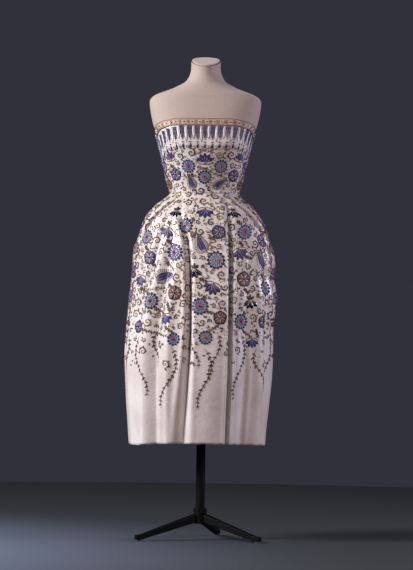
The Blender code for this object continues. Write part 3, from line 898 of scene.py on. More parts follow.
class Yarn(Enum):
    """Materials of the embroidery: colour and finish."""

    NAVY = ("#10163a", Finish.SILK)
    COBALT = ("#18255c", Finish.SILK)
    PERIWINKLE = ("#5f6c94", Finish.SILK)
    LILAC = ("#665589", Finish.SILK)
    VIOLET = ("#2b1c4a", Finish.SILK)
    ROSE = ("#96565c", Finish.SILK)
    PEARL = ("#cfccd6", Finish.SILK)
    BLUSH = ("#b39b8c", Finish.SILK)
    BRONZE = ("#483930", Finish.METAL)
    TAUPE = ("#7a6a59", Finish.METAL)
    GOLD = ("#85693f", Finish.METAL)
    COPPER = ("#63402f", Finish.METAL)
    PLUM_GLASS = ("#160f18", Finish.GLASS)
    NAVY_GLASS = ("#18204e", Finish.GLASS)
    TURQUOISE_GLASS = ("#5f8c94", Finish.GLASS)
    RUBY_GLASS = ("#5e1822", Finish.GLASS)

    @property
    def number(self) -> int:
        """Its place in the list of yarns."""
        return list(Yarn).index(self)

    def make(self) -> Material:
        """Build the material.

        Returns:
            The material.
        """
        colour, finish = self.value
        material, tree, shader, where = new_material(f"{finish.value}_{self.name.lower()}")
        set_inputs(tree, shader, {"Base Color": to_linear(colour)})
        if finish is Finish.SILK:
            # Laid floss has a fine ribbing and a silky glint.
            set_inputs(tree, shader, {"Roughness": 0.5, "Sheen Weight": 0.05})
            looks = {"Scale": per_metre(RIB), "Detail": 2.0, "Vector": where}
            ribs = add_node(tree, "ShaderNodeTexNoise", inputs=looks)
            looks = {"Strength": 0.5, "Distance": 0.0003, "Height": ribs.outputs["Fac"]}
            bump = add_node(tree, "ShaderNodeBump", inputs=looks)
            set_inputs(tree, shader, {"Normal": bump.outputs["Normal"]})
        elif finish is Finish.METAL:
            # Wound metal strip sparkles where its turns catch the light.
            set_inputs(tree, shader, {"Metallic": 0.5, "Roughness": 0.5})
            looks = {"Scale": per_metre(STRIP_TURN), "Vector": where}
            turns = add_node(tree, "ShaderNodeTexVoronoi", inputs=looks)
            looks = {"Strength": 0.8, "Distance": 0.0004, "Height": turns.outputs["Distance"]}
            bump = add_node(tree, "ShaderNodeBump", inputs=looks)
            set_inputs(tree, shader, {"Normal": bump.outputs["Normal"]})
        else:
            # Glass reads as a dark drop with a sharp point of light.
            set_inputs(tree, shader, {"Roughness": 0.08, "Coat Weight": 0.6, "Coat Roughness": 0.05})
        return material


# ---- meshes --------------------------------------------------------------------------------------


def add_mesh(name: str, points: Array, faces: Faces, materials: Sequence[Material]) -> Object:
    """Add a smooth mesh to the scene, riding on the frame's body.

    Args:
        name: The piece's name.
        points: Points in millimetres round the stand's axis.
        faces: Point numbers of each face.
        materials: Its materials.

    Returns:
        The object.
    """
    mesh = bpy.data.meshes.new(name)
    moved = points + np.array([*AXIS, 0.0])
    mesh.from_pydata((moved * MM).tolist(), [], faces)
    for material in materials:
        mesh.materials.append(material)
    mesh.shade_smooth()
    obj = bpy.data.objects.new(name, mesh)
    bpy.context.scene.collection.objects.link(obj)
    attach(obj, "root")
    LOG.info("%s: %d points, %d faces", name, len(points), len(faces))
    return obj


def grid_faces(rows: int, columns: int, closed: bool = False, looped: bool = False) -> list[list[int]]:
    """List the faces of a grid of points.

    Args:
        rows: Rows of points, from the lowest up.
        columns: Points in a row, from left to right.
        closed: Whether the last column meets the first.
        looped: Whether the last row meets the first.

    Returns:
        Four point numbers for each face, seen from outside.
    """
    faces = []
    for r in range(rows if looped else rows - 1):
        up = (r + 1) % rows
        for c in range(columns if closed else columns - 1):
            d = (c + 1) % columns
            faces.append([r * columns + c, r * columns + d, up * columns + d, up * columns + c])
    return faces


@dataclass(frozen=True)
class Cloth:
    """A sheet of cloth with a small thickness inwards."""

    thickness: float = 1.6

    def add(self, name: str, points: Array, material: Material) -> Object:
        """Build the sheet.

        Args:
            name: The piece's name.
            points: Its outer face as a grid, rows from the lowest up and columns from left to right.
            material: Its material.

        Returns:
            The object.
        """
        obj = add_mesh(name, points.reshape(-1, 3), grid_faces(*points.shape[:2]), [material])
        wall = obj.modifiers.new("thickness", "SOLIDIFY")
        wall.thickness = self.thickness * MM
        wall.offset = -1.0
        return obj


# ---- embroidery ----------------------------------------------------------------------------------


class Spot(NamedTuple):
    """Where a motif sits: share round the dress, height, and its turn in degrees."""

    f: float
    z: float
    turn: float = 0.0


# Widths along a cord, at equal steps from its start to its end.
EVEN = (0.7, 1.0, 1.0, 1.0, 0.7)
SLIM_ENDS = (0.3, 0.85, 1.0, 0.85, 0.3)
COMMA = (0.5, 1.0, 0.85, 0.65, 0.45, 0.35)
BLUNT = (1.0, 1.0)

# Where a petal has points: along it from root to tip, and across it from edge to edge.
PETAL_ALONG = np.linspace(0.02, 0.98, 6)[:, None]
PETAL_ACROSS = np.array([[-1.0, -0.55, 0.0, 0.55, 1.0]])

# A bead's rings from its foot to its top: width and lift as shares of its size.
BEAD_SIDES = 6
BEAD_WIDTHS = np.array([[1.0], [0.78], [0.0]])
BEAD_LIFTS = np.array([[0.0], [0.45], [0.72]])


def toward(angle: float) -> Array:
    """Find the direction (right, up) at an angle in degrees, 0 to the right and 90 up."""
    return np.array([math.cos(math.radians(angle)), math.sin(math.radians(angle))])


@dataclass
class Stitches:
    """Everything embroidered on one panel, gathered into one mesh."""

    cloth: DressMap
    base: float = 0.45
    points: list[Array] = field(default_factory=list)
    faces: list[Array] = field(default_factory=list)
    yarns: list[Array] = field(default_factory=list)
    count: int = 0

    def add(self, points: Array, faces: Array, yarn: Yarn) -> None:
        """Keep one bit of mesh.

        Args:
            points: Its points in millimetres.
            faces: Point numbers, four for each face.
            yarn: Its material.
        """
        self.points.append(points.reshape(-1, 3))
        self.faces.append(faces + self.count)
        self.yarns.append(np.full(len(faces), yarn.number))
        self.count += len(self.points[-1])

    def lay(self, spot: Spot, p: Array, q: Array, lift: Array | float) -> Array:
        """Lay a flat drawing on the cloth.

        Args:
            spot: Where its middle goes.
            p: Millimetres to the right.
            q: Millimetres up.
            lift: Millimetres out of the cloth.

        Returns:
            Points.
        """
        turn = math.radians(spot.turn)
        right = p * math.cos(turn) - q * math.sin(turn)
        up = p * math.sin(turn) + q * math.cos(turn)
        per_share, per_height = self.cloth.scales(spot.f, spot.z)
        places, normals = self.cloth.at(spot.f + right * per_share, spot.z + up * per_height)
        return places + normals * (self.base + np.broadcast_to(lift, right.shape))[..., None]

    def line(
        self, spot: Spot, p: Array, q: Array, width: float, yarn: Yarn, widths: Sequence[float] = EVEN
    ) -> None:
        """Add a couched cord along a drawn line.

        Args:
            spot: Where the drawing's middle goes.
            p: Millimetres to the right along the line.
            q: Millimetres up along the line.
            width: The cord's width.
            yarn: Its material.
            widths: Shares of the width along it.
        """
        p, q = np.broadcast_arrays(p, q)
        middle = self.lay(spot, p, q, 0.0)
        self.cord(middle, self.lay(spot, p, q, 1.0) - middle, width, yarn, widths)

    def cord(
        self, middle: Array, normals: Array, width: float, yarn: Yarn, widths: Sequence[float] = EVEN
    ) -> None:
        """Sweep a half-round cord along points that lie on the cloth.

        Args:
            middle: The line's points.
            normals: Outward directions at them.
            width: The cord's width. It stands half as high.
            yarn: Its material.
            widths: Shares of the width along it.
        """
        side = np.cross(normals, np.gradient(middle, axis=0))
        side /= np.maximum(np.linalg.norm(side, axis=1, keepdims=True), 1e-9)
        place = np.linspace(0, len(widths) - 1, len(middle))
        size = np.interp(place, range(len(widths)), widths)[:, None] * width / 2
        rails = [middle - side * size, middle + normals * size, middle + side * size]
        self.add(np.stack(rails, 1), np.array(grid_faces(len(middle), len(rails))), yarn)

    def petal(
        self,
        spot: Spot,
        root: tuple[float, float],
        angle: float,
        length: float,
        width: float,
        yarn: Yarn,
        height: float = 1.2,
        widest: float = 0.6,
    ) -> None:
        """Add a domed petal or leaf.

        Args:
            spot: The motif's middle.
            root: Where the petal starts, from the motif's middle.
            angle: Its direction in degrees, 0 to the right and 90 up.
            length: Its length.
            width: Its width.
            yarn: Its material.
            height: Its height off the cloth.
            widest: Where it is widest, as a share from root to tip.
        """
        t, s = PETAL_ALONG, PETAL_ACROSS
        bulge = np.sin(np.pi * t ** (math.log(0.5) / math.log(widest)))
        out = length * t + 0 * s
        half = width / 2 * np.clip(bulge, 0.05, 1) ** 0.75 * s
        lift = height * np.clip(bulge, 0, 1) ** 0.5 * (1 - s**2) ** 0.5
        turn = math.radians(angle)
        p = root[0] + out * math.cos(turn) + half * math.sin(turn)
        q = root[1] + out * math.sin(turn) - half * math.cos(turn)
        self.add(self.lay(spot, p, q, lift), np.array(grid_faces(*p.shape)), yarn)

    def bead(self, spot: Spot, p: float, q: float, size: float, yarn: Yarn, stretch: float = 1.0) -> None:
        """Add a bead as a small dome.

        Args:
            spot: The motif's middle.
            p: Millimetres to the right.
            q: Millimetres up.
            size: Its diameter.
            yarn: Its material.
            stretch: Its height as a multiple of its width.
        """
        ring = np.arange(BEAD_SIDES) * 2 * math.pi / BEAD_SIDES
        share = BEAD_WIDTHS * size / 2
        lift = BEAD_LIFTS * size + 0 * ring
        points = self.lay(spot, p + share * np.cos(ring), q + share * np.sin(ring) * stretch, lift)
        self.add(points, np.array(grid_faces(len(BEAD_WIDTHS), BEAD_SIDES, closed=True)), yarn)

    def bead_ring(
        self, spot: Spot, middle: tuple[float, float], radius: float, count: int, size: float, yarn: Yarn
    ) -> None:
        """Add a ring of beads.

        Args:
            spot: The motif's middle.
            middle: The ring's middle, from the motif's.
            radius: The ring's radius.
            count: How many beads it has.
            size: A bead's diameter.
            yarn: Its material.
        """
        for k in range(count):
            p, q = radius * toward(360 * k / count)
            self.bead(spot, middle[0] + p, middle[1] + q, size, yarn)

    def finish(self, name: str, materials: Sequence[Material]) -> Object:
        """Turn what was gathered into a piece.

        Args:
            name: The piece's name.
            materials: One for each yarn.

        Returns:
            The object.
        """
        faces = [face.tolist() for bit in self.faces for face in bit]
        used = np.concatenate(self.yarns)
        kept = sorted(set(used.tolist()))
        obj = add_mesh(name, np.concatenate(self.points), faces, [materials[k] for k in kept])
        obj.data.polygons.foreach_set("material_index", np.searchsorted(kept, used))
        return obj


# A flower's colours: outer petals, inner petals and eye.
Palette = tuple[Yarn, Yarn, Yarn]
NIGHT: Palette = (Yarn.NAVY, Yarn.PERIWINKLE, Yarn.RUBY_GLASS)
DUSK: Palette = (Yarn.COBALT, Yarn.LILAC, Yarn.RUBY_GLASS)
PLUM: Palette = (Yarn.VIOLET, Yarn.LILAC, Yarn.PLUM_GLASS)
EARTH: Palette = (Yarn.BRONZE, Yarn.ROSE, Yarn.PLUM_GLASS)

# Colours that runs of small pieces take in turn.
STRING_YARNS = (Yarn.VIOLET, Yarn.LILAC, Yarn.VIOLET, Yarn.COBALT)
STEM_LEAVES = (Yarn.BRONZE, Yarn.TAUPE, Yarn.BRONZE, Yarn.COPPER)
GROUND_YARNS = (Yarn.TAUPE, Yarn.BRONZE, Yarn.TAUPE, Yarn.COPPER, Yarn.BRONZE, Yarn.GOLD)
GROUND_EYES = (Yarn.NAVY_GLASS, Yarn.PLUM_GLASS, Yarn.RUBY_GLASS, Yarn.BRONZE)


class Motif(Enum):
    """Kinds of embroidered motif, each named for the method that draws it."""

    DAISY = "daisy"
    BLOSSOM = "blossom"
    TULIP = "tulip"
    PAISLEY = "paisley"
    BERRIES = "berries"
    SCROLL = "scroll"
    LEAVES = "leaves"
    SEED = "seed"


class Flower(NamedTuple):
    """A placed motif: angle round the dress, height, kind, size in millimetres, turn and colours."""

    angle: float
    height: float
    motif: Motif
    size: float
    turn: float
    palette: Palette


SKIRT_FLOWERS = (
    Flower(1, 990, Motif.TULIP, 48, 180, PLUM),
    Flower(-22, 948, Motif.DAISY, 50, 0, NIGHT),
    Flower(17, 930, Motif.BLOSSOM, 46, 20, PLUM),
    Flower(-4, 890, Motif.PAISLEY, 62, 40, DUSK),
    Flower(13, 845, Motif.DAISY, 58, 0, NIGHT),
    Flower(-9, 812, Motif.BERRIES, 58, 0, PLUM),
    Flower(9, 762, Motif.TULIP, 50, 160, PLUM),
    Flower(-3, 706, Motif.DAISY, 54, 0, DUSK),
    Flower(17, 672, Motif.BLOSSOM, 44, 0, EARTH),
    Flower(3, 612, Motif.DAISY, 44, 30, NIGHT),
    Flower(-38, 990, Motif.BERRIES, 51, 0, PLUM),
    Flower(-42, 930, Motif.TULIP, 48, 150, PLUM),
    Flower(-63, 915, Motif.DAISY, 50, 0, NIGHT),
    Flower(-30, 868, Motif.DAISY, 56, 0, DUSK),
    Flower(-55, 853, Motif.BLOSSOM, 46, 0, PLUM),
    Flower(-40, 800, Motif.PAISLEY, 68, -60, DUSK),
    Flower(-64, 785, Motif.TULIP, 46, 170, PLUM),
    Flower(-27, 745, Motif.BLOSSOM, 46, 0, EARTH),
    Flower(-50, 722, Motif.DAISY, 54, 0, NIGHT),
    Flower(-35, 668, Motif.TULIP, 42, 190, DUSK),
    Flower(-62, 645, Motif.BLOSSOM, 42, 0, PLUM),
    Flower(-27, 606, Motif.DAISY, 40, 0, DUSK),
    Flower(40, 990, Motif.BERRIES, 51, 0, PLUM),
    Flower(46, 932, Motif.DAISY, 52, 0, DUSK),
    Flower(66, 910, Motif.BLOSSOM, 46, 0, PLUM),
    Flower(38, 868, Motif.TULIP, 48, 200, PLUM),
    Flower(58, 842, Motif.PAISLEY, 64, 50, DUSK),
    Flower(41, 790, Motif.BLOSSOM, 50, 0, EARTH),
    Flower(63, 765, Motif.DAISY, 52, 0, NIGHT),
    Flower(47, 722, Motif.BERRIES, 56, 0, PLUM),
    Flower(38, 662, Motif.DAISY, 50, 0, NIGHT),
    Flower(60, 664, Motif.BLOSSOM, 44, 0, PLUM),
    Flower(50, 600, Motif.TULIP, 38, 180, DUSK),
)

BODICE_FLOWERS = (
    Flower(0, 1098, Motif.DAISY, 44, 0, NIGHT),
    Flower(0, 1150, Motif.TULIP, 44, 0, PLUM),
    Flower(-27, 1130, Motif.DAISY, 44, 0, DUSK),
    Flower(27, 1130, Motif.DAISY, 44, 0, NIGHT),
    Flower(-26, 1080, Motif.PAISLEY, 46, 35, DUSK),
    Flower(27, 1080, Motif.PAISLEY, 46, -35, DUSK),
    Flower(-51, 1106, Motif.BLOSSOM, 42, 0, PLUM),
    Flower(52, 1104, Motif.BLOSSOM, 42, 0, PLUM),
    Flower(-54, 1158, Motif.TULIP, 38, 10, PLUM),
    Flower(55, 1158, Motif.TULIP, 38, -10, DUSK),
    Flower(-76, 1130, Motif.DAISY, 44, 0, NIGHT),
    Flower(76, 1130, Motif.DAISY, 44, 0, DUSK),
    Flower(-72, 1078, Motif.BLOSSOM, 36, 0, EARTH),
    Flower(73, 1078, Motif.BLOSSOM, 36, 0, EARTH),
)


class Spray(NamedTuple):
    """A leafy stem that trails down the skirt: start and end places, and its sideways bend."""

    angle: float
    height: float
    end_angle: float
    end_height: float
    bend: float


SPRAYS = (
    Spray(-10, 655, -7, 520, -14),
    Spray(2, 580, 3, 395, 22),
    Spray(14, 630, 10, 490, 14),
    Spray(-29, 585, -33, 400, 22),
    Spray(-43, 640, -48, 520, -16),
    Spray(-60, 615, -56, 440, -18),
    Spray(-73, 620, -77, 500, 12),
    Spray(38, 630, 37, 430, 20),
    Spray(54, 580, 59, 470, -16),
    Spray(71, 640, 68, 450, 16),
)


class Strewing(NamedTuple):
    """One round of small motifs strewn over the ground: radius, places that are tried, and kind."""

    radius: float
    tries: int
    motif: Motif


GROUND = (
    Strewing(18.0, 4000, Motif.SCROLL),
    Strewing(14.0, 8000, Motif.SCROLL),
    Strewing(10.5, 12000, Motif.SCROLL),
    Strewing(7.6, 12000, Motif.LEAVES),
    Strewing(5.4, 14000, Motif.LEAVES),
    Strewing(3.7, 18000, Motif.LEAVES),
    Strewing(2.2, 16000, Motif.SEED),
)

# A paisley's laid rows: place across it, which of its colours, and width as a share of its size.
PAISLEY_ROWS = ((-0.72, 0, 0.2), (0, 0, 0.22), (0.72, 0, 0.2), (-0.36, 1, 0.13), (0.36, 1, 0.13))


@dataclass
class Embroidery:
    """All the needlework of the dress, drawn on the map and split by panel."""

    cloth: DressMap
    seed_number: int = 7
    panels: dict[str, Stitches] = field(default_factory=dict)
    most_places: int = 9000

    # The border under the braid.
    band_depth: float = 20.0
    border_depth: float = 84.0
    border_row: int = -6
    lappet_pitch: float = 23.0
    lappet_lengths: tuple[float, float] = (47.0, 38.0)
    string_beads: tuple[int, ...] = (9, 13, 15, 13, 9)
    string_step: float = 3.0
    string_spread: float = 0.13
    bud_top: float = -55.0

    # Share of its radius that a flower keeps free of others.
    overlap: float = 0.7

    # Stems that join flowers, and those that trail down.
    stem_width: float = 2.4
    stem_leaf: float = 10.0
    trailing_leaf: float = 12.0
    stem_bend: float = 12.0
    joined_drops: tuple[float, float] = (25.0, 125.0)
    joined_gaps: tuple[float, float] = (50.0, 130.0)

    # The ground between the flowers, which thins out down the skirt.
    ground_low: float = 585.0
    ground_fade: float = 135.0
    ground_stray_depth: float = 60.0
    ground_top: float = 1195.0
    stray_share: float = 0.03
    closeness: float = 0.87
    thinned_gap: float = 5.0
    seam_margin: float = 3.0

    # The back's flowers: those of the front within an angle, shifted round and down.
    mirrored_within: float = 78.0
    closure_margin: float = 5.0
    back_shift: float = 1.5
    back_drop: float = 6.0

    # Columns of flowers over the side pleats: angle, and how far each is shifted up.
    side_columns: tuple[tuple[int, int], ...] = ((-84, 24), (84, 24), (-97, -10), (97, -10))
    side_top: float = 935.0
    side_step: float = 74.0
    side_size: float = 42.0

    chance: np.random.Generator = field(init=False)
    used: Array = field(init=False)
    used_count: int = field(init=False, default=0)

    def __post_init__(self) -> None:
        """Start with no place used."""
        self.chance = np.random.default_rng(self.seed_number)
        self.used = np.zeros((self.most_places, 4))

    def stitches(self, spot: Spot) -> Stitches:
        """Find the panel that carries a spot.

        Args:
            spot: The spot.

        Returns:
            The panel's stitches.
        """
        angle = self.cloth.angle_at(spot.f, spot.z)
        table = BODICE_PANELS if spot.z >= self.cloth.shape.waist else SKIRT_PANELS
        for panel in table:
            if seam_angle(panel.left_seam, spot.z) <= angle <= seam_angle(panel.right_seam, spot.z):
                break
        return self.panels.setdefault(panel.name, Stitches(self.cloth))

    def spot(self, angle: float, z: float, turn: float = 0.0) -> Spot:
        """Turn an angle in degrees from the front, a height and a motif's turn into a spot."""
        return Spot(self.cloth.share_at(angle, z), z, turn)

    def is_free(self, here: Array, radius: float) -> bool:
        """Check that a round motif, with the bare cloth round it, would not lie on another."""
        used = self.used[: self.used_count]
        return bool(np.all(np.linalg.norm(used[:, :3] - here, axis=1) > used[:, 3] + radius))

    def take(self, here: Array, radius: float) -> None:
        """Mark a round place as used."""
        self.used[self.used_count] = (*here, radius)
        self.used_count += 1

    # -- motifs, each drawn round a spot, with its parts as shares of its size --

    def daisy(self, s: Stitches, spot: Spot, size: float, palette: Palette) -> None:
        """Draw a round flower with close petals, a ring of small beads and a beaded eye.

        Args:
            s: The panel's stitches.
            spot: The flower's middle.
            size: Its width.
            palette: Its colours.
        """
        outer, inner, eye = palette
        count = 14 if size > 40 else 11
        for k in range(count):
            angle = 360 * k / count
            out = toward(angle)
            wide, slim = size * 2.4 / count, size * 1.2 / count
            s.petal(spot, out * size * 0.24, angle, size * 0.27, wide, outer, height=1.4, widest=0.62)
            s.petal(spot, out * size * 0.1, angle + 180 / count, size * 0.2, slim, inner)
            s.bead(spot, *(out * size * 0.33), size * 0.05, Yarn.PEARL)
        s.bead_ring(spot, (0, 0), size * 0.1, 7, size * 0.07, Yarn.ROSE)
        s.bead(spot, 0, 0, size * 0.14, eye)

    def blossom(self, s: Stitches, spot: Spot, size: float, palette: Palette) -> None:
        """Draw a five-petalled flower with veined petals, small sepals and stamens.

        Args:
            s: The panel's stitches.
            spot: The flower's middle.
            size: Its width.
            palette: Its colours.
        """
        outer, inner, eye = palette
        for angle in range(90, 450, 72):
            out, between = size * toward(angle), size * toward(angle + 36)
            sepal = (size * 0.17, size * 0.09)
            s.petal(spot, out * 0.07, angle, size * 0.44, size * 0.46, outer, height=1.3, widest=0.68)
            s.petal(spot, out * 0.14, angle, size * 0.27, size * 0.16, inner, height=2.2)
            s.petal(spot, between * 0.34, angle + 36, *sepal, Yarn.BRONZE, height=0.8, widest=0.45)
            s.bead(spot, *(between * 0.16), size * 0.06, Yarn.GOLD)
        s.bead(spot, 0, 0, size * 0.15, eye)

    def tulip(self, s: Stitches, spot: Spot, size: float, palette: Palette) -> None:
        """Draw a fan-shaped flower seen from the side, on a calyx with two curled leaves.

        Args:
            s: The panel's stitches.
            spot: The flower's middle.
            size: Its width.
            palette: Its colours.
        """
        outer, inner, eye = palette
        root = np.array([0.0, -size * 0.3])
        for angle, length in ((90, 0.68), (64, 0.66), (116, 0.66), (38, 0.58), (142, 0.58)):
            out, long = size * toward(angle), size * length
            s.petal(spot, root + out * 0.1, angle, long, size * 0.25, outer, height=1.3, widest=0.66)
            s.petal(spot, root + out * 0.2, angle, long * 0.5, size * 0.09, inner, height=1.9)
            s.bead(spot, *(root + out * (length + 0.17)), size * 0.06, eye)
        t = np.linspace(0, 1, 12)
        for side in (-1, 1):
            p = side * size * (0.04 + 0.46 * np.sin(t * 2.1))
            s.line(spot, p, root[1] - size * 0.06 + size * 0.32 * t**1.6, 3.0, Yarn.BRONZE, COMMA)
        calyx = root - [0, size * 0.08]
        s.petal(spot, calyx, 90, size * 0.22, size * 0.18, Yarn.TAUPE, height=1.6, widest=0.5)

    def paisley(self, s: Stitches, spot: Spot, size: float, palette: Palette) -> None:
        """Draw a curved seed shape: laid rows inside a gold outline, and a feathered edge.

        Args:
            s: The panel's stitches.
            spot: The seed's middle.
            size: Its length.
            palette: Its colours.
        """
        t = np.linspace(0, 1, 26)
        # The seed's spine bends over at its tip.
        spine = size * np.stack([0.28 * t**2.4, t - 0.45])
        half = size * 0.2 * np.sin(np.pi * t**0.62) ** 0.85 * (1 - 0.35 * t)
        for across, colour, share in PAISLEY_ROWS:
            p, q = spine[0, 1:-2] + across * half[1:-2], spine[1, 1:-2]
            s.line(spot, p, q, size * share * 0.42, palette[colour], SLIM_ENDS)
        for side, feather in ((-1, Yarn.TAUPE), (1, Yarn.VIOLET)):
            s.line(spot, spine[0] + side * half * 1.25, spine[1], 1.7, Yarn.GOLD)
            for k in range(1, 23, 2):
                edge = (spine[0, k] + side * half[k] * 1.4, spine[1, k])
                s.petal(spot, edge, 90 - side * 62, size * 0.12, size * 0.05, feather, height=0.8)
        for k in range(3, 20, 3):
            s.bead(spot, *spine[:, k], size * 0.055, Yarn.PEARL if k % 2 else palette[2])

    def berries(self, s: Stitches, spot: Spot, size: float, palette: Palette) -> None:
        """Draw a bunch of long dark drops under a small cap of leaves.

        Args:
            s: The panel's stitches.
            spot: The bunch's middle.
            size: Its height.
            palette: Its colours.
        """
        top = np.array([0, size * 0.2])
        drop, glint = (size * 0.5, size * 0.21), (size * 0.2, size * 0.06)
        for angle in (-132, -103, -77, -48):
            out = size * toward(angle)
            s.petal(spot, top + out * 0.1, angle, *drop, palette[2], height=1.7, widest=0.66)
            s.petal(spot, top + out * 0.26, angle, *glint, Yarn.LILAC, height=2.6, widest=0.5)
            s.bead(spot, *(top + out * 0.68), size * 0.06, Yarn.NAVY_GLASS)
        cap = top - [0, size * 0.08]
        for angle in (40, 90, 140):
            s.petal(spot, cap, angle, size * 0.3, size * 0.15, Yarn.BRONZE, height=1.5, widest=0.45)

    def scroll(self, s: Stitches, spot: Spot, size: float, palette: Palette) -> None:
        """Draw a spiral that thins towards a bead in its eye, with leaves along its outside.

        Args:
            s: The panel's stitches.
            spot: The spiral's middle.
            size: Its width with its leaves.
            palette: Its colours: spiral, leaves and eye.
        """
        hand = 1 if self.chance.random() < 0.5 else -1
        radius = size * 0.38
        t = np.linspace(0, 1, max(14, int(radius * 2.2)))
        swing = hand * t * 2.7 * math.pi
        p, q = radius * (1 - 0.86 * t) * np.stack([np.cos(swing), np.sin(swing)])
        s.line(spot, p, q, 1.7 + radius * 0.24, palette[0], COMMA)
        s.bead(spot, p[-1], q[-1], 1.2 + radius * 0.16, palette[2])
        heading = np.degrees(np.arctan2(np.gradient(q), np.gradient(p)))
        for k, share in ((0, 1.0), (len(t) // 8, 0.85), (len(t) // 4, 0.7), (len(t) * 2 // 5, 0.55)):
            leaf, lean = radius * 0.8 * share, heading[k] - hand * 50
            s.petal(spot, (p[k], q[k]), lean, leaf, leaf * 0.48, palette[1], height=1.1, widest=0.45)

    def leaves(self, s: Stitches, spot: Spot, size: float, palette: Palette) -> None:
        """Draw two comma-shaped leaves that part from one root, with a tendril.

        Args:
            s: The panel's stitches.
            spot: The leaves' middle.
            size: Their reach.
            palette: Their colours: leaves, tendril and bead.
        """
        t = np.linspace(0, 1, 9)
        for side, reach in ((-1, 1.0), (1, 0.8)):
            p = side * size * reach * 0.42 * np.sin(t * 1.9)
            s.line(spot, p, size * (reach * 0.8 * t**1.3 - 0.4), size * 0.3, palette[0], SLIM_ENDS)
        s.line(spot, size * 0.08 * np.sin(t * 6), size * (0.7 * t - 0.45), 1.2, palette[1])
        s.bead(spot, 0, -size * 0.45, size * 0.14, palette[2])

    def seed(self, s: Stitches, spot: Spot, size: float, palette: Palette) -> None:
        """Draw one small seed with a bead beside it."""
        s.petal(spot, (-size * 0.5, 0), 0, size, size * 0.5, palette[0], height=0.9, widest=0.5)
        s.bead(spot, 0, size * 0.35, size * 0.3, palette[2])

    def draw_motif(self, motif: Motif, spot: Spot, size: float, palette: Palette) -> None:
        """Draw one motif on the panel that carries its spot."""
        getattr(self, motif.value)(self.stitches(spot), spot, size, palette)

    # -- runs --

    def stem(
        self, a: Spot, b: Spot, bend: float, leaf: float, trim: tuple[float, float] = (0, 0)
    ) -> None:
        """Draw a bending stem between two spots, with leaves along it.

        Args:
            a: Its start.
            b: Its end.
            bend: How far it swings sideways.
            leaf: Length of its leaves.
            trim: Millimetres left bare at its two ends.
        """
        per_share, _ = self.cloth.scales(a.f, a.z)
        length = math.hypot((b.f - a.f) / per_share, b.z - a.z)
        t = np.linspace(trim[0] / length, 1 - trim[1] / length, max(8, int(length / 3)))
        sway = bend * np.sin(t * math.pi * 1.7) * per_share
        f, z = a.f + (b.f - a.f) * t + sway, a.z + (b.z - a.z) * t
        middle, normals = self.cloth.at(f, z)
        s = self.stitches(Spot(float(f[len(f) // 2]), float(z[len(z) // 2])))
        s.cord(middle + normals * s.base, normals, self.stem_width, Yarn.BRONZE, SLIM_ENDS)
        heading = np.degrees(np.arctan2(np.gradient(z), np.gradient(f) / per_share))
        every = max(2, round(leaf / 3))
        for k in range(1, len(t) - 1):
            self.take(middle[k], leaf * 0.3)
            if k % every:
                continue
            spot, yarn = Spot(float(f[k]), float(z[k])), STEM_LEAVES[k // every % len(STEM_LEAVES)]
            # The longer leaf changes sides from one pair to the next.
            for side, share in ((1, 1.0), (-1, 0.7)) if k // every % 2 else ((-1, 1.0), (1, 0.7)):
                size = leaf * share * (1.15 - 0.45 * t[k])
                lean = heading[k] + side * 40
                s.petal(spot, (0, 0), lean, size, size * 0.4, yarn, height=1.1, widest=0.48)

    def join(self, flowers: Sequence[Flower]) -> None:
        """Join each flower to the nearest one below it on its panel by a leafy stem.

        Args:
            flowers: All the flowers.
        """
        spots = [self.spot(flower.angle, flower.height) for flower in flowers]
        places = [self.cloth.at(spot.f, spot.z)[0] for spot in spots]
        homes = [self.stitches(spot) for spot in spots]
        least_drop, most_drop = self.joined_drops
        least_gap, most_gap = self.joined_gaps
        for k, flower in enumerate(flowers):
            gaps = [
                (float(np.linalg.norm(places[k] - places[j])), j)
                for j, other in enumerate(flowers)
                if least_drop < flower.height - other.height < most_drop and homes[j] is homes[k]
            ]
            gap, j = min(gaps, default=(0, 0))
            if least_gap < gap < most_gap:
                trim = (flower.size * 0.5, flowers[j].size * 0.5)
                bend = self.stem_bend if k % 2 else -self.stem_bend
                self.stem(spots[k], spots[j], bend, self.stem_leaf, trim)

    def lappet(self, s: Stitches, spot: Spot, is_long: bool) -> None:
        """Draw a pointed tongue of cloth that hangs from the braid.

        Args:
            s: The panel's stitches.
            spot: The middle of its root.
            is_long: Whether it is one of the longer ones.
        """
        pitch, length = self.lappet_pitch, self.lappet_lengths[0 if is_long else 1]
        heart = Yarn.TURQUOISE_GLASS if is_long else Yarn.LILAC
        s.petal(spot, (0, -1), -90, length, pitch * 0.45, Yarn.PEARL, height=1.5, widest=0.4)
        s.petal(spot, (0, -5), -90, length * 0.62, pitch * 0.1, heart, height=2.3, widest=0.4)
        # Its outline starts narrow, widens and runs out to a point.
        t = np.linspace(0, 1, 12)
        for side in (-1, 1):
            p = side * pitch * 0.25 * np.sin(np.pi * t**0.76)
            s.line(spot, p, -1 - (length + 3) * t, 1.3, Yarn.TAUPE)
        s.bead(spot, 0, -length - 3, 3.4, Yarn.GOLD)

    def bead_strings(self, s: Stitches, spot: Spot) -> None:
        """Draw strings of seed beads that cover the ground between two lappets.

        Args:
            s: The panel's stitches.
            spot: The middle of the left lappet's root.
        """
        for row, beads in enumerate(self.string_beads):
            offset = self.lappet_pitch * (0.5 + self.string_spread * (row - 2))
            for j in range(beads):
                yarn = STRING_YARNS[(j + row % 2) % len(STRING_YARNS)]
                s.bead(spot, offset, -1.8 - self.string_step * j, 2.7, yarn, stretch=1.15)

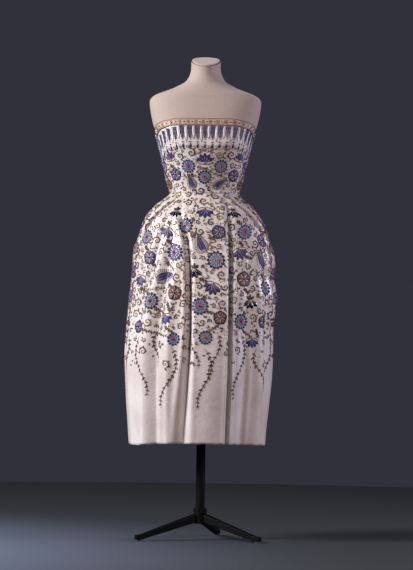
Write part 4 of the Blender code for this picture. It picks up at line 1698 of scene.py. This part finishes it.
    def bud_and_ring(self, s: Stitches, spot: Spot) -> None:
        """Draw a bud under a small cap below the strings, and a ring of beads below the lappet.

        Args:
            s: The panel's stitches.
            spot: The middle of the lappet's root.
        """
        side, top = self.lappet_pitch / 2, self.bud_top
        s.petal(spot, (side, top), -90, 17, 8.0, Yarn.NAVY, height=1.6, widest=0.6)
        s.petal(spot, (side, top - 1), -90, 9, 2.0, Yarn.PERIWINKLE, height=2.3, widest=0.5)
        s.petal(spot, (side - 4.6, top + 2.8), 0, 9.2, 4.0, Yarn.COBALT, height=1.3, widest=0.5)
        s.bead(spot, side, top - 19.5, 2.6, Yarn.GOLD)
        s.bead_ring(spot, (0, top - 11), 4.2, 7, 2.4, Yarn.PEARL)
        s.bead(spot, 0, top - 11, 4.2, Yarn.ROSE)

    def border(self) -> None:
        """Draw the bodice's top border: lappets and bead strings above buds and bead rings."""
        shape = self.cloth.shape
        half_round = float(self.cloth.halves[self.border_row].mean())
        count = int(2 * half_round / self.lappet_pitch / 2) * 2
        for k in range(count):
            f = (k + 0.5) / count * 2 - 1
            angle = self.cloth.angle_at(f, shape.neckline)
            spot = Spot(f, float(shape.neckline_height(angle)) - self.band_depth - 1)
            s = self.stitches(spot)
            self.lappet(s, spot, k % 2 == 0)
            self.bead_strings(s, spot)
            self.bud_and_ring(s, spot)

    def fill(self) -> None:
        """Fill the ground with scrolls, leaves and seeds, closer together above than below."""
        shape, low = self.cloth.shape, self.ground_low
        for radius, tries, motif in GROUND:
            f = self.chance.uniform(-1, 1, tries)
            z = self.chance.uniform(low - self.ground_stray_depth, self.ground_top, tries)
            top = shape.neckline_height(self.cloth.angle_at(f, z)) - self.border_depth - radius
            thin = np.clip((z - low) / self.ground_fade, 0, 1) ** 0.8
            kept = (z < top) & (self.chance.uniform(0, 1, tries) < thin + self.stray_share)
            kept &= np.abs(z - shape.waist) > self.seam_margin
            places, _ = self.cloth.at(f, z)
            for k in np.flatnonzero(kept):
                if not self.is_free(places[k], radius * self.closeness + self.thinned_gap * (1 - thin[k])):
                    continue
                self.take(places[k], radius)
                spot = Spot(float(f[k]), float(z[k]), float(self.chance.uniform(0, 360)))
                main, other = self.chance.integers(len(GROUND_YARNS), size=2)
                eye = GROUND_EYES[self.chance.integers(len(GROUND_EYES))]
                leaf = GROUND_YARNS[other] if self.chance.random() < 0.85 else Yarn.VIOLET
                self.draw_motif(motif, spot, radius * 2, (GROUND_YARNS[main], leaf, eye))

    def all_flowers(self) -> list[Flower]:
        """List the flowers of the front, the back and the sides.

        Returns:
            The flowers. Some of them may lie on others.
        """
        flowers = []
        for flower in (*BODICE_FLOWERS, *SKIRT_FLOWERS):
            flowers.append(flower)
            # The back repeats the front's scheme with its sides exchanged.
            back = 180 - flower.angle if flower.angle >= 0 else -180 - flower.angle
            is_low = flower.height < self.cloth.shape.waist
            limit = float(self.cloth.shape.neckline_height(back)) - self.border_depth - flower.size / 2
            has_room = is_low or flower.height < limit
            is_off_closure = abs(abs(back) - 180) > self.closure_margin
            if abs(flower.angle) < self.mirrored_within and has_room and is_off_closure:
                height, turn = flower.height - self.back_drop, -flower.turn
                flowers.append(flower._replace(angle=back + self.back_shift, height=height, turn=turn))
        kinds = (Motif.TULIP, Motif.DAISY, Motif.BLOSSOM, Motif.DAISY, Motif.BERRIES)
        palettes = (NIGHT, EARTH, PLUM, DUSK)
        for angle, shift in self.side_columns:
            for k, motif in enumerate(kinds):
                height = self.side_top - self.side_step * k + shift
                turn = 180 if motif is Motif.TULIP else 0
                palette = palettes[(k + shift) % len(palettes)]
                flowers.append(Flower(angle, height, motif, self.side_size, turn, palette))
        return flowers

    def draw(self) -> dict[str, Stitches]:
        """Draw everything.

        Returns:
            Stitches for each panel's name.
        """
        shown = []
        for flower in self.all_flowers():
            spot = self.spot(flower.angle, flower.height, flower.turn)
            here, _ = self.cloth.at(spot.f, spot.z)
            radius = flower.size * (0.42 if flower.motif is Motif.PAISLEY else 0.5)
            if self.is_free(here, radius * self.overlap):
                self.take(here, radius)
                self.draw_motif(flower.motif, spot, flower.size, flower.palette)
                shown.append(flower)
        self.join(shown)
        for spray in SPRAYS:
            for a, b in ((spray.angle, spray.end_angle), (180 - spray.angle, 180 - spray.end_angle)):
                a, b = (x - 360 if x > 180 else x for x in (a, b))
                if a * b > 0 or abs(a) < 90:
                    start, end = self.spot(a, spray.height), self.spot(b, spray.end_height)
                    self.stem(start, end, spray.bend, self.trailing_leaf)
        self.border()
        self.fill()
        return self.panels


# ---- pieces --------------------------------------------------------------------------------------

# The braid's couched cords: row of its grid from its foot up, yarn and width.
BRAID_CORDS = ((0, Yarn.BRONZE, 1.8), (5, Yarn.COPPER, 1.8), (1, Yarn.ROSE, 1.3), (4, Yarn.ROSE, 1.3))


@dataclass
class Dress:
    """The dress: bodice and skirt panels, each with its embroidery, the back placket and the braid."""

    cloth: DressMap
    satin: Material
    yarns: Sequence[Material]
    seam_gap: float = 0.3
    low_rows: int = 90
    waist_rows: int = 60
    waist_zone: float = 150.0
    bodice_rows: int = 44
    bodice_reach: float = 200.0
    settling_turns: int = 4
    columns_per_mm: float = 0.36
    least_columns: int = 24
    measured_levels: tuple[float, float] = (600.0, 700.0)
    measured_points: int = 200

    placket_width: float = 15.0
    placket_low_end: float = 870.0
    placket_rows: int = 90
    placket_columns: int = 7
    placket_lift: float = 2.6
    placket_crown: float = 0.25
    placket_round: float = 1.4

    band_depth: float = 20.0
    band_lift: float = 1.6
    band_crown: float = 0.5
    band_end: float = 176.0
    band_columns: int = 260
    band_rows: int = 6
    medallion_pitch: float = 26.0

    def edges(self, panel: Panel, left_z: float, right_z: float) -> tuple[float, float]:
        """Find a panel's cut edges, half a seam gap inside its seams.

        Args:
            panel: The panel.
            left_z: Height at its left edge.
            right_z: Height at its right edge.

        Returns:
            Shares of the way round of both edges.
        """
        ends = []
        for seam, side, z in ((panel.left_seam, 1, left_z), (panel.right_seam, -1, right_z)):
            end = self.cloth.share_at(seam_angle(seam, z), z)
            ends.append(end + side * self.seam_gap / 2 * self.cloth.scales(end, z)[0])
        return ends[0], ends[1]

    def skirt_grid(self, panel: Panel, heights: Sequence[float], count: int) -> Array:
        """Find a skirt panel's outer face.

        Args:
            panel: The panel.
            heights: Levels from the lowest up.
            count: Points across.

        Returns:
            A grid of points.
        """
        across = np.linspace(0, 1, count)
        rows = []
        for z in heights:
            left, right = self.edges(panel, float(z), float(z))
            rows.append(self.cloth.at(left * (1 - across) + right * across, z)[0])
        return np.array(rows)

    def bodice_grid(self, panel: Panel, count: int) -> Array:
        """Find a bodice panel's outer face, from the waist seam to the dipping top edge.

        Args:
            panel: The panel.
            count: Points across.

        Returns:
            A grid of points.
        """
        shape = self.cloth.shape
        low = shape.waist + self.seam_gap
        across = np.linspace(0, 1, count)
        rows = []
        for level in np.linspace(0, 1, self.bodice_rows):
            z = np.full(count, shape.waist + level * self.bodice_reach)
            # A row's ends depend on its height, and its height on the top edge over its points.
            for _ in range(self.settling_turns):
                left, right = self.edges(panel, float(z[0]), float(z[-1]))
                f = left * (1 - across) + right * across
                z = low + level * (shape.neckline_height(self.cloth.angle_at(f, z)) - low)
            rows.append(self.cloth.at(f, z)[0])
        return np.array(rows)

    def columns(self, rough: Array) -> int:
        """Choose how many points go across a panel from a rough grid of its points."""
        width = np.linalg.norm(np.diff(rough, axis=1), axis=2).sum(axis=1).max()
        return max(self.least_columns, int(width * self.columns_per_mm))

    def skirt_levels(self) -> Array:
        """List the skirt's levels, closer together under the waist seam.

        Returns:
            Heights from the hem up.
        """
        shape = self.cloth.shape
        high = shape.waist - self.waist_zone * np.linspace(1, 0, self.waist_rows) ** 1.4
        heights = np.concatenate([np.linspace(shape.hem, high[0], self.low_rows)[:-1], high])
        heights[-1] = shape.waist - self.seam_gap / 2
        return heights

    def add_panels(self, stitched: dict[str, Stitches]) -> None:
        """Build every panel with its embroidery.

        Args:
            stitched: Stitches for each panel.
        """
        heights = self.skirt_levels()
        for panel in (*BODICE_PANELS, *SKIRT_PANELS):
            if panel in SKIRT_PANELS:
                rough = self.skirt_grid(panel, self.measured_levels, self.measured_points)
                points = self.skirt_grid(panel, heights, self.columns(rough))
            else:
                rough = self.bodice_grid(panel, self.measured_points)
                points = self.bodice_grid(panel, self.columns(rough))
            obj = Cloth().add(f"{panel.name}_satin", points, self.satin)
            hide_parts(panel.name)
            if panel.name in stitched:
                stitched[panel.name].finish(f"{panel.name}_embroidery", self.yarns)

    def middle_of_band(self, angle: float) -> float:
        """Find the height of the braid's middle at an angle in degrees from the front."""
        return float(self.cloth.shape.neckline_height(angle)) - self.band_depth / 2

    def add_placket(self) -> None:
        """Build the lapped strip over the back closure, a little crowned across its width."""
        top = float(self.cloth.shape.neckline_height(np.array(180.0))) - 0.2
        half = self.placket_width / 2
        x = np.linspace(half, -half, self.placket_columns)
        lift = self.placket_lift + self.placket_crown * np.cos(x / half * self.placket_round)
        rows = []
        for z in np.linspace(self.placket_low_end, top, self.placket_rows):
            place, _ = self.cloth.at(-1.0, z)
            rows.append(np.stack([x, place[1] + lift, np.full(len(x), z)], -1))
        points = np.array(rows)
        obj = Cloth(thickness=1.0).add("back_placket_satin", points, self.satin)
        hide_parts("back_placket")

    def band_grid(self, angles: Array) -> Array:
        """Find the braid's outer face, a little crowned across its depth.

        Args:
            angles: Degrees from the front along it.

        Returns:
            A grid of points.
        """
        top = self.cloth.shape.neckline_height(angles)
        rows = []
        for share in np.arange(self.band_rows) / (self.band_rows - 1):
            z = top - self.band_depth * (1 - share)
            f = np.array([self.cloth.share_at(float(a), float(h)) for a, h in zip(angles, z)])
            places, normals = self.cloth.at(f, z)
            rows.append(places + normals * (self.band_lift + self.band_crown * math.sin(math.pi * share)))
        return np.array(rows)

    def add_band(self) -> None:
        """Build the braid: a flat ribbon with couched cords, and two kinds of medallion in turn."""
        angles = np.linspace(-self.band_end, self.band_end, self.band_columns)
        points = self.band_grid(angles)
        ribbon = Cloth(thickness=0.9).add("top_band_braid", points, self.yarns[Yarn.BLUSH.number])
        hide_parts("top_band")
        trims = Stitches(self.cloth, base=self.band_lift + 0.3)
        along = np.diff(points[2], axis=0)
        normals = np.cross(np.gradient(points[2], axis=0), points[3] - points[2])
        normals /= np.linalg.norm(normals, axis=1, keepdims=True)
        for row, yarn, width in BRAID_CORDS:
            trims.cord(points[row] + normals * 0.4, normals, width, yarn, BLUNT)
        count = int(np.linalg.norm(along, axis=1).sum() / self.medallion_pitch) * 2
        for k in range(count):
            angle = float(np.interp((k + 0.5) / count * (len(angles) - 1), range(len(angles)), angles))
            z = self.middle_of_band(angle)
            self.medallion(trims, Spot(self.cloth.share_at(angle, z), z), k % 2 == 1)
        work = trims.finish("top_band_beadwork", self.yarns)

    def medallion(self, trims: Stitches, spot: Spot, is_beaded: bool) -> None:
        """Draw one medallion of the braid.

        Args:
            trims: The braid's stitches.
            spot: Its middle.
            is_beaded: Whether its ring is of beads, or else of cord.
        """
        if is_beaded:
            trims.bead(spot, 0, 0, 4.8, Yarn.PLUM_GLASS)
            trims.bead_ring(spot, (0, 0), 5.0, 8, 2.4, Yarn.PEARL)
        else:
            turn = np.linspace(0, 2 * math.pi, 16)
            trims.line(spot, 4.6 * np.cos(turn), 4.2 * np.sin(turn), 1.6, Yarn.BRONZE, BLUNT)
            trims.bead(spot, 0, 0, 4.4, Yarn.RUBY_GLASS)


@dataclass
class DressForm:
    """The linen-covered torso, its neck cap and the piping round the cap."""

    shape: FormShape
    linen: Material
    piping: Material
    bottom: float = 762.0
    shoulder: float = 1320.0
    neck: float = 1400.0
    rows: tuple[int, int, int] = (60, 36, 14)
    columns: int = 120
    sharp_edge: float = math.radians(50)
    # The cap's outline from its foot to its middle: share of the neck's width, and height over it.
    cap_outline: tuple[tuple[float, float], ...] = (
        (0.94, 0.3), (0.94, 2.2), (0.925, 3.4), (0.89, 4.0), (0.6, 4.2), (0.02, 4.3),
    )  # fmt: skip
    piping_share: float = 0.985
    piping_lift: float = 0.2
    piping_radius: float = 1.1
    piping_sides: int = 6

    def add(self) -> Object:
        """Build the torso and the cap.

        Returns:
            The torso.
        """
        angles = np.linspace(-180, 180, self.columns, endpoint=False)
        stops = (self.bottom, self.shoulder, self.neck, self.shape.neck_top)
        stretches = [np.linspace(*stretch) for stretch in zip(stops, stops[1:], self.rows)]
        heights = np.unique(np.concatenate(stretches))
        rings = []
        for height in heights:
            flat = around(angles, self.shape.radius(angles, height))
            rings.append(np.column_stack([flat, height + self.shape.rise(flat, height)]))
        # A fan closes the neck, and one flat face the bottom.
        points = np.concatenate([*rings, [rings[-1].mean(axis=0)]])
        faces = grid_faces(len(heights), self.columns, closed=True)
        last = (len(heights) - 1) * self.columns
        faces += [[last + k, last + (k + 1) % self.columns, len(points) - 1] for k in range(self.columns)]
        faces.append(list(range(self.columns))[::-1])
        torso = add_mesh("form_torso_linen", points, faces, [self.linen])
        torso.data.set_sharp_from_angle(angle=self.sharp_edge)
        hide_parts("form_torso")
        self.add_cap(angles)
        return torso

    def add_cap(self, angles: Array) -> None:
        """Build the neck cap, a covered disc with a soft edge and piping round its rim.

        Args:
            angles: Degrees from the front round the rim.
        """
        top = self.shape.neck_top
        flat = around(angles, self.shape.radius(angles, top))
        middle = flat.mean(axis=0)
        spokes = flat - middle
        rows = []
        for share, lift in self.cap_outline:
            ring = middle + spokes * share
            rows.append(np.column_stack([ring, top + lift + self.shape.rise(ring, top)]))
        faces = grid_faces(len(rows), self.columns, closed=True)
        cap = add_mesh("neck_cap_linen", np.concatenate(rows), faces, [self.linen])
        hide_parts("neck_cap")

        ring = middle + spokes * self.piping_share
        rim = np.column_stack([ring, top + self.piping_lift + self.shape.rise(ring, top)])
        out = spokes / np.linalg.norm(spokes, axis=1, keepdims=True)
        tube = []
        for k in range(self.piping_sides):
            aside, up = self.piping_radius * toward(360 * k / self.piping_sides)
            tube.append(rim + np.column_stack([out * aside, np.full(len(rim), up)]))
        points = np.array(tube).transpose(1, 0, 2).reshape(-1, 3)
        faces = grid_faces(self.columns, self.piping_sides, closed=True, looped=True)
        piping = add_mesh("neck_piping", points, faces, [self.piping])


@dataclass
class Stand:
    """The stand: the frame's own solids, with their finishes."""

    steel: Material
    rubber: Material
    board: Material
    steel_nodes: tuple[str, ...] = (
        "pole_flange", "stand_pole", "stand_collar", "stand_hub", "leg_left", "leg_right", "leg_back",
    )  # fmt: skip
    rubber_nodes: tuple[str, ...] = ("foot_left", "foot_right", "foot_back")
    board_nodes: tuple[str, ...] = ("form_board",)

    def add(self) -> None:
        """Finish the stand's solids."""
        finishes = (
            (self.steel, self.steel_nodes),
            (self.rubber, self.rubber_nodes),
            (self.board, self.board_nodes),
        )
        for material, nodes in finishes:
            for name in nodes:
                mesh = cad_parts[name].data
                mesh.materials.clear()
                mesh.materials.append(material)
                LOG.info("%s: %s", name, material.name)


class Lamp(NamedTuple):
    """A soft square light: where it stands and points in metres, its side, its watts and its colour."""

    name: str
    place: tuple[float, float, float]
    target: tuple[float, float, float]
    size: float
    power: float
    colour: str


LAMPS = (
    Lamp("key", (-3.75, -1.6, 2.45), (0, 0, 0.85), 1.3, 326.0, "#fffbfb"),
    Lamp("fill", (1.9, -3.9, 1.7), (0, 0, 0.8), 2.0, 60.0, "#ffe6dc"),
    Lamp("top", (-0.4, 0.6, 3.6), (0, 0, 0.9), 1.6, 14.0, "#ffffff"),
    Lamp("side", (3.4, -0.3, 1.5), (0, 0, 0.75), 1.0, 66.0, "#e6e4ff"),
)


@dataclass
class Studio:
    """The floor, the lights and the camera, in metres."""

    floor_radius: float = 3.2
    floor_sides: int = 96
    # The floor's colours are painted light: a pale painted pool of light, and painted shade far from it.
    floor_painted_light_colour: str = "#6c7a95"
    floor_painted_shade_colour: str = "#171f24"
    floor_painted_light_place: tuple[float, float, float] = (0.75, 0.27, 0.0)
    floor_painted_light_scale: tuple[float, float, float] = (0.45, 0.45, 1.0)
    wall_colour: str = "#31313b"
    camera_distance: float = 8.0
    camera_height: float = 0.6
    aim: tuple[float, float, float] = (0.018, 0.0, 0.775)
    sensor: float = 36.0
    lens: float = 165.7
    roll: float = math.radians(0.755)

    def add_lamp(self, lamp: Lamp) -> None:
        """Add a light that the camera doesn't see.

        Args:
            lamp: The light.
        """
        data = bpy.data.lights.new(lamp.name, "AREA")
        data.shape = "SQUARE"
        data.size, data.energy, data.color = lamp.size, lamp.power, to_linear(lamp.colour)[:3]
        light = bpy.data.objects.new(lamp.name, data)
        light.location = lamp.place
        light.rotation_euler = (Vector(lamp.target) - Vector(lamp.place)).to_track_quat("-Z", "Y").to_euler()
        light.visible_camera = False
        bpy.context.scene.collection.objects.link(light)

    def floor_material(self) -> Material:
        """Make matt background paper with painted light: a painted pool of light near the light's side of
        the stand, fading to painted shade away from it.

        Returns:
            The material.
        """
        material, tree, shader, where = new_material("paper_floor_matt")
        # A painted pool of light round one place, darkening to painted shade with distance from it.
        looks = {"Location": self.floor_painted_light_place, "Scale": self.floor_painted_light_scale, "Vector": where}
        moved = add_node(tree, "ShaderNodeMapping", inputs=looks)
        looks = {0: moved.outputs["Vector"]}
        distance = add_node(tree, "ShaderNodeVectorMath", {"operation": "LENGTH"}, looks)
        ramp = add_node(tree, "ShaderNodeValToRGB", inputs={0: distance.outputs["Value"]})
        ramp.color_ramp.interpolation = "EASE"
        for stop, colour in zip(ramp.color_ramp.elements, (self.floor_painted_light_colour, self.floor_painted_shade_colour)):
            stop.color = to_linear(colour)
        set_inputs(tree, shader, {"Base Color": ramp.outputs["Color"], "Roughness": 0.85})
        return material

    def add_floor(self) -> None:
        """Build the round floor."""
        turns = np.linspace(0, 360, self.floor_sides, endpoint=False)
        rim = [(*(self.floor_radius * toward(turn)), 0.0) for turn in turns]
        mesh = bpy.data.meshes.new("floor")
        mesh.from_pydata(rim, [], [list(range(self.floor_sides))])
        mesh.materials.append(self.floor_material())
        floor = bpy.data.objects.new("floor", mesh)
        bpy.context.scene.collection.objects.link(floor)

    def add_camera(self) -> None:
        """Add the camera at the photograph's angle."""
        data = bpy.data.cameras.new("camera")
        data.sensor_width, data.lens = self.sensor, self.lens
        camera = bpy.data.objects.new("camera", data)
        place = Vector((self.aim[0], -self.camera_distance, self.camera_height))
        turn = (Vector(self.aim) - place).to_track_quat("-Z", "Y").to_matrix().to_4x4()
        camera.matrix_world = Matrix.Translation(place) @ turn @ Matrix.Rotation(self.roll, 4, "Z")
        bpy.context.scene.collection.objects.link(camera)
        bpy.context.scene.camera = camera

    def add(self) -> None:
        """Build the studio."""
        world = bpy.data.worlds.new("studio")
        world.use_nodes = True
        background = world.node_tree.nodes["Background"]
        background.inputs["Color"].default_value = to_linear(self.wall_colour)
        background.inputs["Strength"].default_value = 1.0
        bpy.context.scene.world = world
        bpy.context.scene.view_settings.view_transform = "Standard"
        for lamp in LAMPS:
            self.add_lamp(lamp)
        self.add_floor()
        self.add_camera()
        LOG.info("studio: %d lights, floor and camera", len(LAMPS))


def main() -> None:
    """Build every piece in order."""
    logging.basicConfig(level=logging.INFO, format="%(message)s")
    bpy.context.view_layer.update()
    shape = DressShape()
    cloth = DressMap(shape)
    yarns = [yarn.make() for yarn in Yarn]
    satin, linen = Satin().make(), Linen().make()
    form = DressForm(shape.form, linen, yarns[Yarn.BRONZE.number]).add()
    dress = Dress(cloth, satin, yarns)
    dress.add_panels(Embroidery(cloth).draw())
    dress.add_placket()
    dress.add_band()
    Stand(PaintedSteel().make(), Rubber().make(), Board().make()).add()
    Studio().add()
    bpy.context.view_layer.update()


if __name__ == "__main__":
    main()
